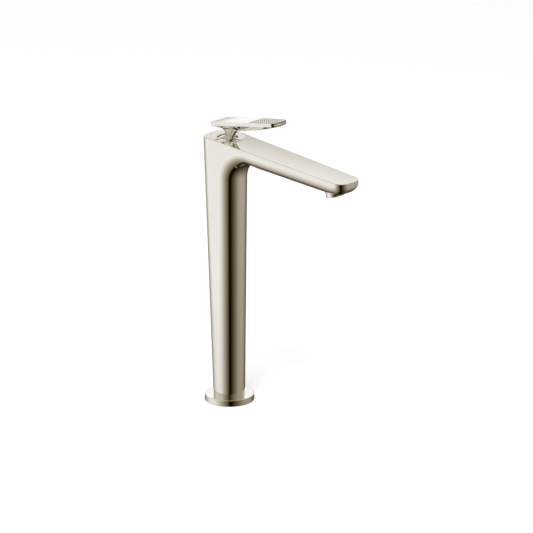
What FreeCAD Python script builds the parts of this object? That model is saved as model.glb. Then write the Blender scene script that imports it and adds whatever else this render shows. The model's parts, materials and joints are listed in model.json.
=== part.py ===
"""Tall single-lever basin mixer: a leaning column, a long flat spout and a lever on a ball neck.

Frame: millimetres, +Z up. The origin is the centre of the flange's underside, on the column's
axis. The spout points to -Y and hot is on -X. Distances named "reach" or "ahead" grow to -Y.
"""
import FreeCAD, Part
import math
import os

V = FreeCAD.Vector
X_AXIS = V(1, 0, 0)
Z_AXIS = V(0, 0, 1)

# ---- Outer body ---------------------------------------------------------------------------------
FLANGE_R = 25.0            # round flange that covers the hole in the deck
FLANGE_H = 6.5
FLANGE_EDGE = 0.5          # bevel round the flange's top edge
COLUMN_R_FOOT = 15.7       # half-round front of the column, just above the flange
COLUMN_R_ELBOW = 18.0      # the same, where the spout turns out of the column
COLUMN_FLAT = 0.6          # half width of the narrow flat down the column's front and back
HEAD_HALF_W = 19.3         # half width of the head at its top edge
HEAD_TOP = 277.9           # height of the head's flat top
BACK_FOOT = 15.85          # the back wall leans outwards from here ...
BACK_ELBOW = 24.2
BACK_TOP = 24.9            # ... to here
BACK_CORNER_R = 14.4       # rounding of the head's back corners, seen from above
SPOUT_REACH = 171.6        # column axis to the tip of the spout
SPOUT_TIP_HALF_W = 15.3
SPOUT_DEPTH = 17.8         # from the top face to the underside
SPOUT_FALL = 3.07          # degrees that the spout falls towards its tip
ELBOW_R = 16.5             # inside radius between the column and the spout
KEEL_R_ROOT = 14.2         # rounding of the spout's lower edges, at the elbow
KEEL_R_TIP = 13.0          # the same, at the tip
TIP_CORNER_R = 10.5        # rounding of the tip, seen from above
TIP_BAND_H = 4.0           # upright edge of the tip, above the chin
CHIN_LEN = 21.0            # length over which the chin curves up to the tip
CHIN_DROP = 0.3            # the chin's curve ends this far under the underside
WALL = 2.5                 # wall of the hollow column
TRIM = 0.05                # the trimming outline stands this far outside the sides

# ---- Cartridge, lever bearing and cover ---------------------------------------------------------
CART_BACK = 2.0            # the cartridge's axis lies this far behind the column's axis
DOME_R = 19.0              # ball cap under the lever, centred on the lever's pivot
DOME_T = 1.5
DOME_RISE = 1.1            # the ball cap stands this far above the head's top
DOME_LAP = 1.0             # degrees of ball cap that stay under the cover at full tilt
LEVER_TRAVEL = 25.0        # degrees from closed to fully open
COVER_R = 17.6             # round cover let into the head
COVER_HOLE_R = 10.6
COVER_T = 1.3
MARK_LEN = 5.0
MARK_W = 1.1
MARK_T = 0.35
CARTRIDGE_R = 14.1
SPINDLE_ARM = 7.5          # pivot to the ball that drives the upper ceramic disc
SPINDLE_BALL_R = 2.2
SPINDLE_R = 3.0
SPINDLE_RISE = 12.0        # ball cap to the spindle's upper end
PIN_R = 1.5
GUIDE_R = 10.4             # turning guide that carries the lever's pin
GUIDE_BELOW = 4.0          # the guide reaches this far below the pivot ...
GUIDE_ABOVE = 5.8          # ... and this far above it
DISC_R_FIXED = 11.5
DISC_T_FIXED = 3.0
DISC_R_MOVING = 8.2
DISC_T_MOVING = 2.8
CARRIER_T = 5.0
CARRIER_FLOOR = 0.35
BASE_T = 4.0
HOUSING_LIP_T = 1.2
SHOULDER_RISE = 2.0        # pivot to the collar that the nut presses on
SHOULDER_T = 1.5
SHOULDER_R = 16.3
HOUSING_NECK_W = 1.6       # wall round the turning guide, above the nut
NUT_T = 4.6
NUT_KEY_W = 3.0            # width of the nut's key slots
SPINDLE_EDGE = 1.0         # the shank starts this far above the guide's underside
SEAT_T = 8.0               # floor in the head that the cartridge stands on
SEAL_R = 0.6               # half the thickness of the small seals
RUN_FIT = 0.05             # clearance of parts that turn or slide in each other
SLIP_FIT = 0.2             # clearance of parts that are put together and stay
MOVING_GAP = 0.35          # clearance of parts that pass each other

# ---- Waterways and foot -------------------------------------------------------------------------
PORT_SPREAD = 6.2          # each water inlet lies this far to the side of the column's axis
TUBE_R = 4.0
TUBE_WALL = 0.8
TUBE_SEAT = 5.0            # depth of each socket that takes a tube's end
PORT_R = 2.7
NUT_AF = 11.2              # width across flats of the tube nuts
TUBE_NUT_H = 6.0
FOOT_R = 13.0              # screwed block in the column's foot
FOOT_COLLAR_R = 15.4
FOOT_COLLAR_T = 2.5
FOOT_RECESS = 1.5          # its underside lies this far above the deck
FOOT_TOP = 24.0
INLET_R = 4.5              # tapped for M10 x 1 hoses
INLET_DEPTH = 12.0
STUD_R = 2.5               # tapped for M6 fixing studs
STUD_DEPTH = 16.0
STUD_SPREAD = 8.7
GASKET_R = 22.5
GASKET_W = 4.0
GASKET_T = 1.5
SPOUT_DUCT_R = 3.6
SPOUT_DUCT_DEPTH = 10.5    # duct's centre line below the top face
RISER_R = 3.0

# ---- Aerator ------------------------------------------------------------------------------------
OUTLET_BACK = 22.4         # the outlet's centre lies this far behind the tip
OUTLET_DROP = 20.4         # and this far below the top face
OUTLET_TILT = 17.0         # degrees that the stream leans forwards
AERATOR_R = 8.9
AERATOR_L = 12.0
AERATOR_WALL = 1.1
INSERT_L = 6.5
INSERT_RECESS = 1.0
SCREEN_T = 0.6
LIMITER_T = 2.0
INSERT_WALL = 1.2
JET_PLATE_T = 2.2
JET_R = 1.15
JET_PITCH = 3.0
LIP_W = 0.7                # the sleeve's lip reaches this far inwards

# ---- Lever --------------------------------------------------------------------------------------
LEVER_LEAN = 12.5          # degrees that the closed lever's neck leans forwards
LEVER_SLOPE = 10.6         # degrees that the closed lever's plate rises forwards
LEVER_BACK = 14.8          # plate's back edge, behind the column's axis
LEVER_RISE = 15.5          # head's top to the plate's top, at its back edge
LEVER_LEN = 87.9
LEVER_HALF_W_BACK = 12.8
LEVER_HALF_W_FRONT = 10.5
LEVER_BAND = 3.9           # upright edge of the plate
LEVER_BACK_CORNER_R = 4.0
LEVER_FRONT_CORNER = 1.8   # the front corners are cut off, not rounded
BELLY_INSET = 0.4          # the belly is this much narrower than the plate on each side
BELLY_BACK = 0.6           # depth of the belly below the plate: at the back edge ...
BELLY_NECK = 6.9           # ... round the neck ...
BELLY_FRONT = 1.2          # ... and at the front edge
BELLY_BACK_LEN = 19.0      # the belly is deepest from here ...
BELLY_FRONT_AT = 34.0      # ... to here, measured from the back edge
BELLY_CURVE = 1.4          # 1 is a straight run to the front, and more bulges down
NECK_FOOT_R = 5.7
NECK_WAIST_R = 5.5
NECK_TOP_R = 9.4
NECK_RISE = 3.5            # ball cap to the waist, along the neck
NECK_FLARE = 8.5           # waist to the widest place, inside the belly
NECK_SWELL = 1.1           # 1 is a plain cone, and more makes the flank hollow
SOCKET_R = 4.6             # inner end of the neck, below the ball cap
SOCKET_DEPTH = 6.0         # it reaches this far into the ball cap
SET_SCREW_R = 2.0
SET_SCREW_RISE = 1.6       # waist to the set screw, along the neck
PLUG_T = 0.9

# ---- Places worked out from the sizes above -----------------------------------------------------
FALL = math.radians(SPOUT_FALL)
PIVOT_Z = HEAD_TOP + DOME_RISE - DOME_R
PIVOT = V(0, CART_BACK, PIVOT_Z)
ELBOW_Y = -(COLUMN_R_ELBOW + ELBOW_R)
ELBOW_Z = HEAD_TOP + math.tan(FALL) * ELBOW_Y - (ELBOW_R + SPOUT_DEPTH) / math.cos(FALL)
CARRIER_TOP_Z = PIVOT_Z - SPINDLE_ARM + SPINDLE_BALL_R
CARRIER_Z = CARRIER_TOP_Z - CARRIER_T
MOVING_DISC_Z = CARRIER_Z - DISC_T_MOVING
FIXED_DISC_Z = MOVING_DISC_Z - RUN_FIT - DISC_T_FIXED
SEAT_Z = FIXED_DISC_Z - BASE_T
SEAT_UNDER_Z = SEAT_Z - SEAT_T
GUIDE_Z = PIVOT_Z - GUIDE_BELOW
GUIDE_TOP_Z = PIVOT_Z + GUIDE_ABOVE
HOUSING_TOP_Z = GUIDE_TOP_Z + RUN_FIT + HOUSING_LIP_T
SHOULDER_Z = PIVOT_Z + SHOULDER_RISE
NUT_Z = SHOULDER_Z + SHOULDER_T
CHAMBER_R = CARTRIDGE_R + SLIP_FIT
HOLE_ANGLE = math.degrees(math.asin(COVER_HOLE_R / DOME_R))
DOME_ANGLE = HOLE_ANGLE + LEVER_TRAVEL / 2 + DOME_LAP
SWEEP_R = DOME_R * math.sin(math.radians(DOME_ANGLE + LEVER_TRAVEL / 2))
DOME_BORE_R = SWEEP_R + MOVING_GAP
COVER_Z = HEAD_TOP - COVER_T
FOOT_TUBE_Z = FOOT_TOP - TUBE_SEAT
SEAT_TUBE_Z = SEAT_UNDER_Z + TUBE_SEAT
TILT = math.radians(OUTLET_TILT)
STREAM = V(0, -math.sin(TILT), -math.cos(TILT))
OUTLET_REACH = SPOUT_REACH - OUTLET_BACK
OUTLET = V(0, -OUTLET_REACH, HEAD_TOP - math.tan(FALL) * OUTLET_REACH - OUTLET_DROP)
AERATOR_TOP = OUTLET - STREAM * AERATOR_L
LEVER_BACK_Z = HEAD_TOP + LEVER_RISE
NECK_WAIST = DOME_R + NECK_RISE
SET_SCREW_AT = NECK_WAIST + SET_SCREW_RISE
SPINDLE_TOP = DOME_R + SPINDLE_RISE


# ---- Small helpers ------------------------------------------------------------------------------
def rod(radius, start, end):
    """Round bar between two points."""
    run = end - start
    return Part.makeCylinder(radius, run.Length, start, run)


def disc(radius, z, height, x=0.0, y=0.0):
    """Upright round disc with its underside at z."""
    return Part.makeCylinder(radius, height, V(x, y, z), Z_AXIS)


def ring(outer, inner, z, height, x=0.0, y=0.0):
    """Upright ring with its underside at z."""
    return disc(outer, z, height, x, y).cut(disc(inner, z, height, x, y))


def lean(shape, degrees, centre=PIVOT):
    """Turn a shape about the cross axis: positive leans its top forwards."""
    turned = shape.copy()
    turned.rotate(centre, X_AXIS, degrees)
    return turned


def top_z(y):
    """Height of the spout's sloping top face at y."""
    return HEAD_TOP + math.tan(FALL) * y


def line(a, b):
    return Part.makeLine(a, b)


def loft(wires, ruled=True):
    return Part.makeLoft(wires, True, ruled)


# ---- Body ---------------------------------------------------------------------------------------
def half_width(reach, z):
    """Half width of the column, head and spout at a reach and a height."""
    if z <= ELBOW_Z:
        rise = (z - FLANGE_H) / (ELBOW_Z - FLANGE_H)
        return COLUMN_R_FOOT + (COLUMN_R_ELBOW - COLUMN_R_FOOT) * rise
    rise = (z - ELBOW_Z) / (HEAD_TOP - ELBOW_Z)
    taper = (HEAD_HALF_W - SPOUT_TIP_HALF_W) / SPOUT_REACH
    side = COLUMN_R_ELBOW + (HEAD_HALF_W - COLUMN_R_ELBOW) * rise
    return side - taper * max(reach, 0.0) * rise


def u_wire(origin, out, near, radius, half_near, half_far, far):
    """U-shaped section: a rounded edge near the origin and open sides away from it."""
    def at(x, distance):
        return origin + out * distance + V(x, 0, 0)
    flat = half_near - radius
    slant = radius * math.sqrt(0.5)
    shoulder = near + radius
    edges = [line(at(-flat, near), at(flat, near))]
    edges.append(Part.Arc(at(flat, near), at(flat + slant, shoulder - slant),
                          at(half_near, shoulder)).toShape())
    edges.append(line(at(half_near, shoulder), at(half_far, far)))
    edges.append(line(at(half_far, far), at(-half_far, far)))
    edges.append(line(at(-half_far, far), at(-half_near, shoulder)))
    edges.append(Part.Arc(at(-half_near, shoulder), at(-flat - slant, shoulder - slant),
                          at(-flat, near)).toShape())
    return Part.Wire(edges)


def column_wire(z, radius, far):
    """Section of the column: a half-round front with open sides behind it."""
    return u_wire(V(0, 0, z), V(0, 1, 0), -radius, radius - COLUMN_FLAT, radius, radius, far)


def elbow_wire(degrees, far):
    """Section of the elbow in a plane through the elbow's centre."""
    out = V(0, math.cos(math.radians(degrees)), math.sin(math.radians(degrees)))
    share = degrees / (90.0 + SPOUT_FALL)
    radius = (COLUMN_R_ELBOW - COLUMN_FLAT) * (1 - share) + KEEL_R_ROOT * share
    centre = V(0, ELBOW_Y, ELBOW_Z)
    near = centre + out * (ELBOW_R + radius)
    away = centre + out * far
    return u_wire(centre, out, ELBOW_R, radius, half_width(-near.y, near.z),
                  half_width(-away.y, away.z), far)


def spout_end_wire(far):
    """Section of the spout just past its tip."""
    out = V(0, -math.sin(FALL), math.cos(FALL))
    along = V(0, -math.cos(FALL), -math.sin(FALL))
    centre = V(0, ELBOW_Y, ELBOW_Z) + along * (SPOUT_REACH + ELBOW_Y + CHIN_LEN / 2)
    tip = half_width(SPOUT_REACH, HEAD_TOP)
    return u_wire(centre, out, ELBOW_R, KEEL_R_TIP, tip, tip, far)


def trim_wire(z, half, back, corner):
    """Outline seen from above that rounds the back corners and the tip."""
    wide = half + TRIM
    tip = SPOUT_TIP_HALF_W + TRIM
    nose = -SPOUT_REACH
    slant = corner * math.sqrt(0.5)
    bow = TIP_CORNER_R * math.sqrt(0.5)
    right = [V(wide - corner, back, z),
             V(wide - corner + slant, back - corner + slant, z),
             V(wide, back - corner, z),
             V(wide, 0, z),
             V(tip, nose + TIP_CORNER_R, z),
             V(tip - TIP_CORNER_R + bow, nose + TIP_CORNER_R - bow, z),
             V(tip - TIP_CORNER_R, nose, z)]
    left = [V(-p.x, p.y, p.z) for p in right]
    edges = [line(left[0], right[0]),
             Part.Arc(right[0], right[1], right[2]).toShape(),
             line(right[2], right[3]),
             line(right[3], right[4]),
             Part.Arc(right[4], right[5], right[6]).toShape(),
             line(right[6], left[6]),
             Part.Arc(left[6], left[5], left[4]).toShape(),
             line(left[4], left[3]),
             line(left[3], left[2]),
             Part.Arc(left[2], left[1], left[0]).toShape()]
    return Part.Wire(edges)


def side_profile():
    """Slab with the side outline of the top face, the tip and the chin."""
    behind = 2 * BACK_TOP
    half = 2 * HEAD_HALF_W
    tip_top = V(-half, -SPOUT_REACH, top_z(-SPOUT_REACH))
    tip_low = tip_top - V(0, 0, TIP_BAND_H)
    drop = SPOUT_DEPTH + CHIN_DROP - TIP_BAND_H
    heel = tip_low + V(0, CHIN_LEN, -drop)
    middle = tip_low + V(0, CHIN_LEN * (1 - math.sqrt(0.5)), -drop * math.sqrt(0.5))
    chin = Part.BSplineCurve()
    chin.interpolate([tip_low, middle, heel], False,
                     Tangents=[V(0, 0, -drop), V(0, CHIN_LEN, -drop), V(0, CHIN_LEN, 0)],
                     TangentFlags=[True, True, True])
    edges = [line(V(-half, behind, FLANGE_H), V(-half, behind, HEAD_TOP)),
             line(V(-half, behind, HEAD_TOP), V(-half, 0, HEAD_TOP)),
             line(V(-half, 0, HEAD_TOP), tip_top),
             line(tip_top, tip_low),
             chin.toShape(),
             line(heel, V(-half, heel.y, FLANGE_H)),
             line(V(-half, heel.y, FLANGE_H), V(-half, behind, FLANGE_H))]
    return Part.Face(Part.Wire(edges)).extrude(V(2 * half, 0, 0))


def body_outside():
    """Column, elbow and spout as one outer form."""
    far = 2 * BACK_TOP + COLUMN_R_ELBOW + ELBOW_R
    steps = 7
    angles = [(90.0 + SPOUT_FALL) * i / (steps - 1) for i in range(steps)]
    elbow = [elbow_wire(a, far) for a in angles]
    column = loft([column_wire(FLANGE_H, COLUMN_R_FOOT, far + ELBOW_Y), elbow[0]])
    spout = loft([elbow[-1], spout_end_wire(far)])
    form = column.fuse(loft(elbow, ruled=False)).fuse(spout)
    above = HEAD_TOP + WALL
    trims = [trim_wire(FLANGE_H, COLUMN_R_FOOT, BACK_FOOT, COLUMN_R_FOOT - COLUMN_FLAT),
             trim_wire(ELBOW_Z, COLUMN_R_ELBOW, BACK_ELBOW, BACK_CORNER_R),
             trim_wire(above, half_width(0, above), BACK_TOP, BACK_CORNER_R)]
    return form.common(loft(trims)).common(side_profile())


def column_hollow():
    """Space inside the column, from its foot to the cartridge's seat."""
    top = half_width(0, SEAT_UNDER_Z) - WALL
    foot = COLUMN_R_FOOT - WALL
    rise = (SEAT_UNDER_Z - FLANGE_H) / (ELBOW_Z - FLANGE_H)
    back_foot = BACK_FOOT - WALL - foot
    back_top = BACK_FOOT + (BACK_ELBOW - BACK_FOOT) * rise - WALL - top

    def section(z, radius, back):
        edges = [line(V(radius, 0, z), V(radius, back, z)),
                 Part.Arc(V(radius, back, z), V(0, back + radius, z),
                          V(-radius, back, z)).toShape(),
                 line(V(-radius, back, z), V(-radius, 0, z)),
                 Part.Arc(V(-radius, 0, z), V(0, -radius, z), V(radius, 0, z)).toShape()]
        return Part.Wire(edges)
    return loft([section(FLANGE_H, foot, back_foot), section(SEAT_UNDER_Z, top, back_top)])


def make_body_shell():
    """Cast body: hollow column, cartridge chamber, water ducts and the aerator's socket."""
    body = body_outside().cut(column_hollow())
    body = body.cut(disc(CHAMBER_R, SEAT_Z, SHOULDER_Z - SEAT_Z, y=CART_BACK))
    body = body.cut(disc(DOME_BORE_R, SHOULDER_Z, COVER_Z - SHOULDER_Z, y=CART_BACK))
    body = body.cut(disc(COVER_R + RUN_FIT, COVER_Z, 2 * COVER_T, y=CART_BACK))
    for side in (-1, 1):
        x = side * PORT_SPREAD
        body = body.cut(disc(PORT_R, SEAT_UNDER_Z, SEAT_T, x))
        body = body.cut(disc(TUBE_R + RUN_FIT, SEAT_UNDER_Z, TUBE_SEAT, x))
    duct_z = top_z(-OUTLET_REACH) - SPOUT_DUCT_DEPTH
    root_y = ELBOW_Y + ELBOW_R / 2
    root = V(0, root_y, top_z(root_y) - SPOUT_DUCT_DEPTH)
    body = body.cut(rod(SPOUT_DUCT_R, root, V(0, AERATOR_TOP.y, duct_z)))
    riser = V(0, CART_BACK - CHAMBER_R + RISER_R, MOVING_DISC_Z + RISER_R)
    body = body.cut(rod(RISER_R, riser, root))
    socket = AERATOR_TOP - STREAM * (LIMITER_T + SLIP_FIT)
    body = body.cut(rod(AERATOR_R + SLIP_FIT, socket, OUTLET + STREAM * AERATOR_L))
    return body


# ---- Foot ---------------------------------------------------------------------------------------
def make_base_flange():
    """Round flange with a stepped bore for the foot block and a groove for the gasket."""
    flange = disc(FLANGE_R, 0, FLANGE_H)
    flange = flange.makeChamfer(FLANGE_EDGE, [flange.Edges[0]])
    flange = flange.cut(disc(FOOT_R + RUN_FIT, 0, FLANGE_H))
    flange = flange.cut(disc(FOOT_COLLAR_R + RUN_FIT, 0, FOOT_RECESS + FOOT_COLLAR_T))
    return flange.cut(ring(GASKET_R, GASKET_R - GASKET_W, 0, GASKET_T))


def make_base_gasket():
    """Flat rubber ring that seals the flange to the deck."""
    return ring(GASKET_R, GASKET_R - GASKET_W, 0, GASKET_T)


def make_foot_block():
    """Screwed block in the column's foot with the hose inlets, tube sockets and stud holes."""
    block = disc(FOOT_R, FOOT_RECESS, FOOT_TOP - FOOT_RECESS)
    block = block.fuse(disc(FOOT_COLLAR_R, FOOT_RECESS, FOOT_COLLAR_T))
    for side in (-1, 1):
        x = side * PORT_SPREAD
        block = block.cut(disc(INLET_R, FOOT_RECESS, INLET_DEPTH, x))
        block = block.cut(disc(PORT_R, FOOT_RECESS, FOOT_TOP - FOOT_RECESS, x))
        block = block.cut(disc(TUBE_R + RUN_FIT, FOOT_TUBE_Z, TUBE_SEAT, x))
        block = block.cut(disc(STUD_R, FOOT_RECESS, STUD_DEPTH, 0, side * STUD_SPREAD))
    return block


def make_supply_tube(side):
    """Copper tube from the foot block to the cartridge's seat."""
    height = SEAT_TUBE_Z - FOOT_TUBE_Z
    return ring(TUBE_R, TUBE_R - TUBE_WALL, FOOT_TUBE_Z, height, side * PORT_SPREAD)


def make_tube_nuts():
    """Four hexagon nuts that clamp the tubes at both ends."""
    corner = NUT_AF / math.sqrt(3)
    nuts = []
    for side in (-1, 1):
        for z in (FOOT_TOP, SEAT_UNDER_Z - TUBE_NUT_H):
            x = side * PORT_SPREAD
            points = [V(x + corner * math.sin(math.radians(60 * i)),
                        corner * math.cos(math.radians(60 * i)), z) for i in range(7)]
            nut = Part.Face(Part.makePolygon(points)).extrude(V(0, 0, TUBE_NUT_H))
            nuts.append(nut.cut(disc(TUBE_R + RUN_FIT, z, TUBE_NUT_H, x)))
    return Part.makeCompound(nuts)


# ---- Cartridge ----------------------------------------------------------------------------------
def make_cartridge_base():
    """Plastic base with the two inlets, their seal grooves and the mixed-water pocket."""
    base = disc(CARTRIDGE_R - SLIP_FIT, SEAT_Z, BASE_T, y=CART_BACK)
    for side in (-1, 1):
        x = side * PORT_SPREAD
        base = base.cut(disc(PORT_R, SEAT_Z, BASE_T, x))
        base = base.cut(ring(PORT_R + 3 * SEAL_R, PORT_R + SEAL_R, SEAT_Z, 2 * SEAL_R, x))
    depth = BASE_T / 2
    outlet = disc(PORT_R, SEAT_Z + depth, depth, y=CART_BACK + PORT_SPREAD)
    way_out = Part.makeBox(2 * PORT_R, CARTRIDGE_R, depth,
                           V(-PORT_R, CART_BACK + PORT_SPREAD, SEAT_Z + depth))
    return base.cut(outlet).cut(way_out)


def make_cartridge_seals():
    """Two rubber rings under the cartridge, one round each inlet."""
    rings = [ring(PORT_R + 3 * SEAL_R, PORT_R + SEAL_R, SEAT_Z, 2 * SEAL_R, side * PORT_SPREAD)
             for side in (-1, 1)]
    return Part.makeCompound(rings)


def make_fixed_disc():
    """Lower ceramic disc with two inlets and one outlet."""
    plate = disc(DISC_R_FIXED, FIXED_DISC_Z, DISC_T_FIXED, y=CART_BACK)
    for x, y in ((-PORT_SPREAD, 0), (PORT_SPREAD, 0), (0, CART_BACK + PORT_SPREAD)):
        plate = plate.cut(disc(PORT_R, FIXED_DISC_Z, DISC_T_FIXED, x, y))
    return plate


def make_moving_disc():
    """Upper ceramic disc with the mixing pocket in its underside."""
    plate = disc(DISC_R_MOVING, MOVING_DISC_Z, DISC_T_MOVING, y=CART_BACK)
    pocket = disc(DISC_R_MOVING - PORT_R, MOVING_DISC_Z, DISC_T_MOVING / 2, y=CART_BACK)
    return plate.cut(pocket)


def make_disc_carrier():
    """Cap on the upper disc with the socket that the spindle's ball pushes."""
    cap = disc(DISC_R_MOVING + RUN_FIT, CARRIER_Z, CARRIER_T, y=CART_BACK + ball_back())
    cap = cap.common(disc(DISC_R_MOVING, CARRIER_Z, CARRIER_T, y=CART_BACK))
    floor_z = CARRIER_Z + CARRIER_FLOOR
    socket = disc(SPINDLE_BALL_R + RUN_FIT, floor_z, CARRIER_T, y=CART_BACK + ball_back())
    return cap.cut(socket)


def ball_back():
    """How far the spindle's ball stands behind the cartridge's axis when closed."""
    return SPINDLE_ARM * math.sin(math.radians(LEVER_LEAN))


def make_cartridge_housing():
    """Cartridge casing: disc room, bore for the turning guide, collar and inner lip."""
    room = DISC_R_MOVING + SPINDLE_ARM * math.radians(LEVER_TRAVEL) / 2 + MOVING_GAP
    room = max(room, DISC_R_FIXED)
    waist = CARTRIDGE_R - SLIP_FIT
    low_z = FIXED_DISC_Z
    casing = disc(waist, low_z, HOUSING_TOP_Z - low_z, y=CART_BACK)
    casing = casing.fuse(disc(SHOULDER_R, SHOULDER_Z, SHOULDER_T, y=CART_BACK))
    above = ring(SHOULDER_R, GUIDE_R + HOUSING_NECK_W, NUT_Z, HOUSING_TOP_Z - NUT_Z,
                 y=CART_BACK)
    casing = casing.cut(above)
    casing = casing.cut(disc(room + RUN_FIT, low_z, GUIDE_Z - RUN_FIT - low_z, y=CART_BACK))
    casing = casing.cut(disc(GUIDE_R + RUN_FIT, low_z, GUIDE_TOP_Z + RUN_FIT - low_z,
                             y=CART_BACK))
    casing = casing.cut(disc(GUIDE_R - HOUSING_LIP_T, low_z, HOUSING_TOP_Z - low_z,
                             y=CART_BACK))
    slot_z = FIXED_DISC_Z + DISC_T_FIXED
    slot = Part.makeBox(2 * PORT_R, 2 * CARTRIDGE_R, PORT_R,
                        V(-PORT_R, CART_BACK - 2 * CARTRIDGE_R, slot_z))
    return casing.cut(slot)


def make_guide():
    """Turning guide: a drum with a slot for the spindle and a cross hole for its pin."""
    drum = disc(GUIDE_R, GUIDE_Z, GUIDE_TOP_Z - GUIDE_Z, y=CART_BACK)
    wide = SPINDLE_R + MOVING_GAP
    swing = math.tan(math.radians(max(LEVER_LEAN, LEVER_TRAVEL - LEVER_LEAN)))
    reach = wide / math.cos(math.atan(swing)) + max(GUIDE_ABOVE, GUIDE_BELOW) * swing
    slot = Part.makeBox(2 * wide, 2 * reach, GUIDE_TOP_Z - GUIDE_Z,
                        V(-wide, CART_BACK - reach, GUIDE_Z))
    cross = rod(PIN_R + RUN_FIT, PIVOT - X_AXIS * GUIDE_R, PIVOT + X_AXIS * GUIDE_R)
    return drum.cut(slot).cut(cross)


def make_spindle_pin():
    """Steel pin that the spindle tilts on."""
    half = GUIDE_R - RUN_FIT
    return rod(PIN_R, PIVOT - X_AXIS * half, PIVOT + X_AXIS * half)


def make_spindle():
    """Steel spindle with a driving ball below and a shank for the lever above."""
    low = PIVOT - Z_AXIS * SPINDLE_ARM
    shaft = rod(SPINDLE_R, PIVOT - Z_AXIS * (GUIDE_BELOW - SPINDLE_EDGE), PIVOT + Z_AXIS * SPINDLE_TOP)
    shaft = shaft.fuse(rod(SPINDLE_BALL_R / 2, low, PIVOT))
    shaft = shaft.fuse(Part.makeSphere(SPINDLE_BALL_R, low))
    shaft = shaft.cut(rod(PIN_R + RUN_FIT, PIVOT - X_AXIS * FLANGE_R, PIVOT + X_AXIS * FLANGE_R))
    return lean(shaft, LEVER_LEAN)


def make_cartridge_nut():
    """Screwed ring that holds the cartridge down, with four key slots."""
    inner = GUIDE_R + 2 * HOUSING_LIP_T
    nut = ring(DOME_BORE_R - SLIP_FIT / 2, inner, NUT_Z, NUT_T, y=CART_BACK)
    for turn in range(2):
        bar = Part.makeBox(4 * DOME_R, NUT_KEY_W, NUT_T / 2,
                           V(-2 * DOME_R, CART_BACK - NUT_KEY_W / 2, NUT_Z + NUT_T / 2))
        bar.rotate(V(0, CART_BACK, 0), Z_AXIS, 90 * turn + 45)
        nut = nut.cut(bar)
    return nut


def make_cartridge_o_ring():
    """Rubber ring that closes the gap round the top of the cartridge."""
    return ring(CHAMBER_R, CARTRIDGE_R - SLIP_FIT, SHOULDER_Z - 3 * SEAL_R, 2 * SEAL_R,
                y=CART_BACK)


# ---- Cover --------------------------------------------------------------------------------------
def mark_box(turn, thick):
    """Slim inlaid stroke on the cover, turned about the cartridge's axis."""
    middle = (COVER_HOLE_R + COVER_R) / 2
    stroke = Part.makeBox(MARK_W, MARK_LEN, thick,
                          V(-MARK_W / 2, CART_BACK - middle - MARK_LEN / 2, HEAD_TOP - thick))
    stroke.rotate(V(0, CART_BACK, 0), Z_AXIS, turn)
    return stroke


def make_cover_ring():
    """Round cover let into the head, with a bevelled hole for the ball cap."""
    plate = ring(COVER_R, COVER_HOLE_R, COVER_Z, COVER_T, y=CART_BACK)
    plate = plate.cut(Part.makeSphere(DOME_R + MOVING_GAP, PIVOT))
    return plate.cut(mark_box(0, MARK_T)).cut(mark_box(-90, MARK_T))


def make_dome_cap():
    """Part of a ball that closes the cover's hole at every position of the lever."""
    half = math.radians(DOME_ANGLE)
    ball = Part.makeSphere(DOME_R, PIVOT).cut(Part.makeSphere(DOME_R - DOME_T, PIVOT))
    rim = DOME_R * math.cos(half)
    keep = Part.makeCylinder(DOME_R, DOME_R, PIVOT + Z_AXIS * rim, Z_AXIS)
    cap = ball.common(keep)
    cap = cap.cut(disc(SOCKET_R + RUN_FIT, PIVOT_Z, 2 * DOME_R, y=CART_BACK))
    return lean(cap, LEVER_LEAN)


# ---- Lever --------------------------------------------------------------------------------------
def lever_outline():
    """Tapered outline of the lever's plate, lying flat with its back edge at y = 0."""
    bend = LEVER_BACK_CORNER_R * (1 - math.sqrt(0.5))
    right = [V(LEVER_HALF_W_BACK - LEVER_BACK_CORNER_R, 0, 0),
             V(LEVER_HALF_W_BACK - bend, -bend, 0),
             V(LEVER_HALF_W_BACK, -LEVER_BACK_CORNER_R, 0),
             V(LEVER_HALF_W_FRONT, -LEVER_LEN + LEVER_FRONT_CORNER, 0),
             V(LEVER_HALF_W_FRONT - LEVER_FRONT_CORNER, -LEVER_LEN, 0)]
    left = [V(-p.x, p.y, 0) for p in right]
    edges = [line(left[0], right[0]),
             Part.Arc(right[0], right[1], right[2]).toShape(),
             line(right[2], right[3]),
             line(right[3], right[4]),
             line(right[4], left[4]),
             line(left[4], left[3]),
             line(left[3], left[2]),
             Part.Arc(left[2], left[1], left[0]).toShape()]
    return Part.Wire(edges)


def belly_wire(back, depth):
    """Rounded section of the lever's underside at a distance from the back edge."""
    taper = (LEVER_HALF_W_BACK - LEVER_HALF_W_FRONT) * back / LEVER_LEN
    half = LEVER_HALF_W_BACK - taper - BELLY_INSET
    if back < LEVER_BACK_CORNER_R:
        half -= LEVER_BACK_CORNER_R - back
    left, right = V(-half, -back, -LEVER_BAND), V(half, -back, -LEVER_BAND)
    lift = V(0, 0, LEVER_BAND / 2)
    return Part.Wire([line(left + lift, left),
                      Part.Arc(left, V(0, -back, -LEVER_BAND - depth), right).toShape(),
                      line(right, right + lift),
                      line(right + lift, left + lift)])


def make_belly():
    """Hull under the plate: deepest round the neck and thin towards the front."""
    front = LEVER_LEN - BELLY_FRONT_AT
    stations = [(BELLY_INSET, BELLY_BACK), (BELLY_BACK_LEN / 2, 0.7 * BELLY_NECK),
                (BELLY_BACK_LEN, BELLY_NECK), (BELLY_FRONT_AT, BELLY_NECK)]
    for share in (0.25, 0.5, 0.75, 1.0):
        depth = BELLY_NECK + (BELLY_FRONT - BELLY_NECK) * share ** BELLY_CURVE
        stations.append((BELLY_FRONT_AT + front * share, depth))
    return loft([belly_wire(back, depth) for back, depth in stations])


def on_plate(shape):
    """Bring a shape from the flat lever to its place on the closed faucet."""
    placed = lean(shape, -LEVER_SLOPE, V(0, 0, 0))
    placed.translate(V(0, LEVER_BACK, LEVER_BACK_Z))
    return placed


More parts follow.
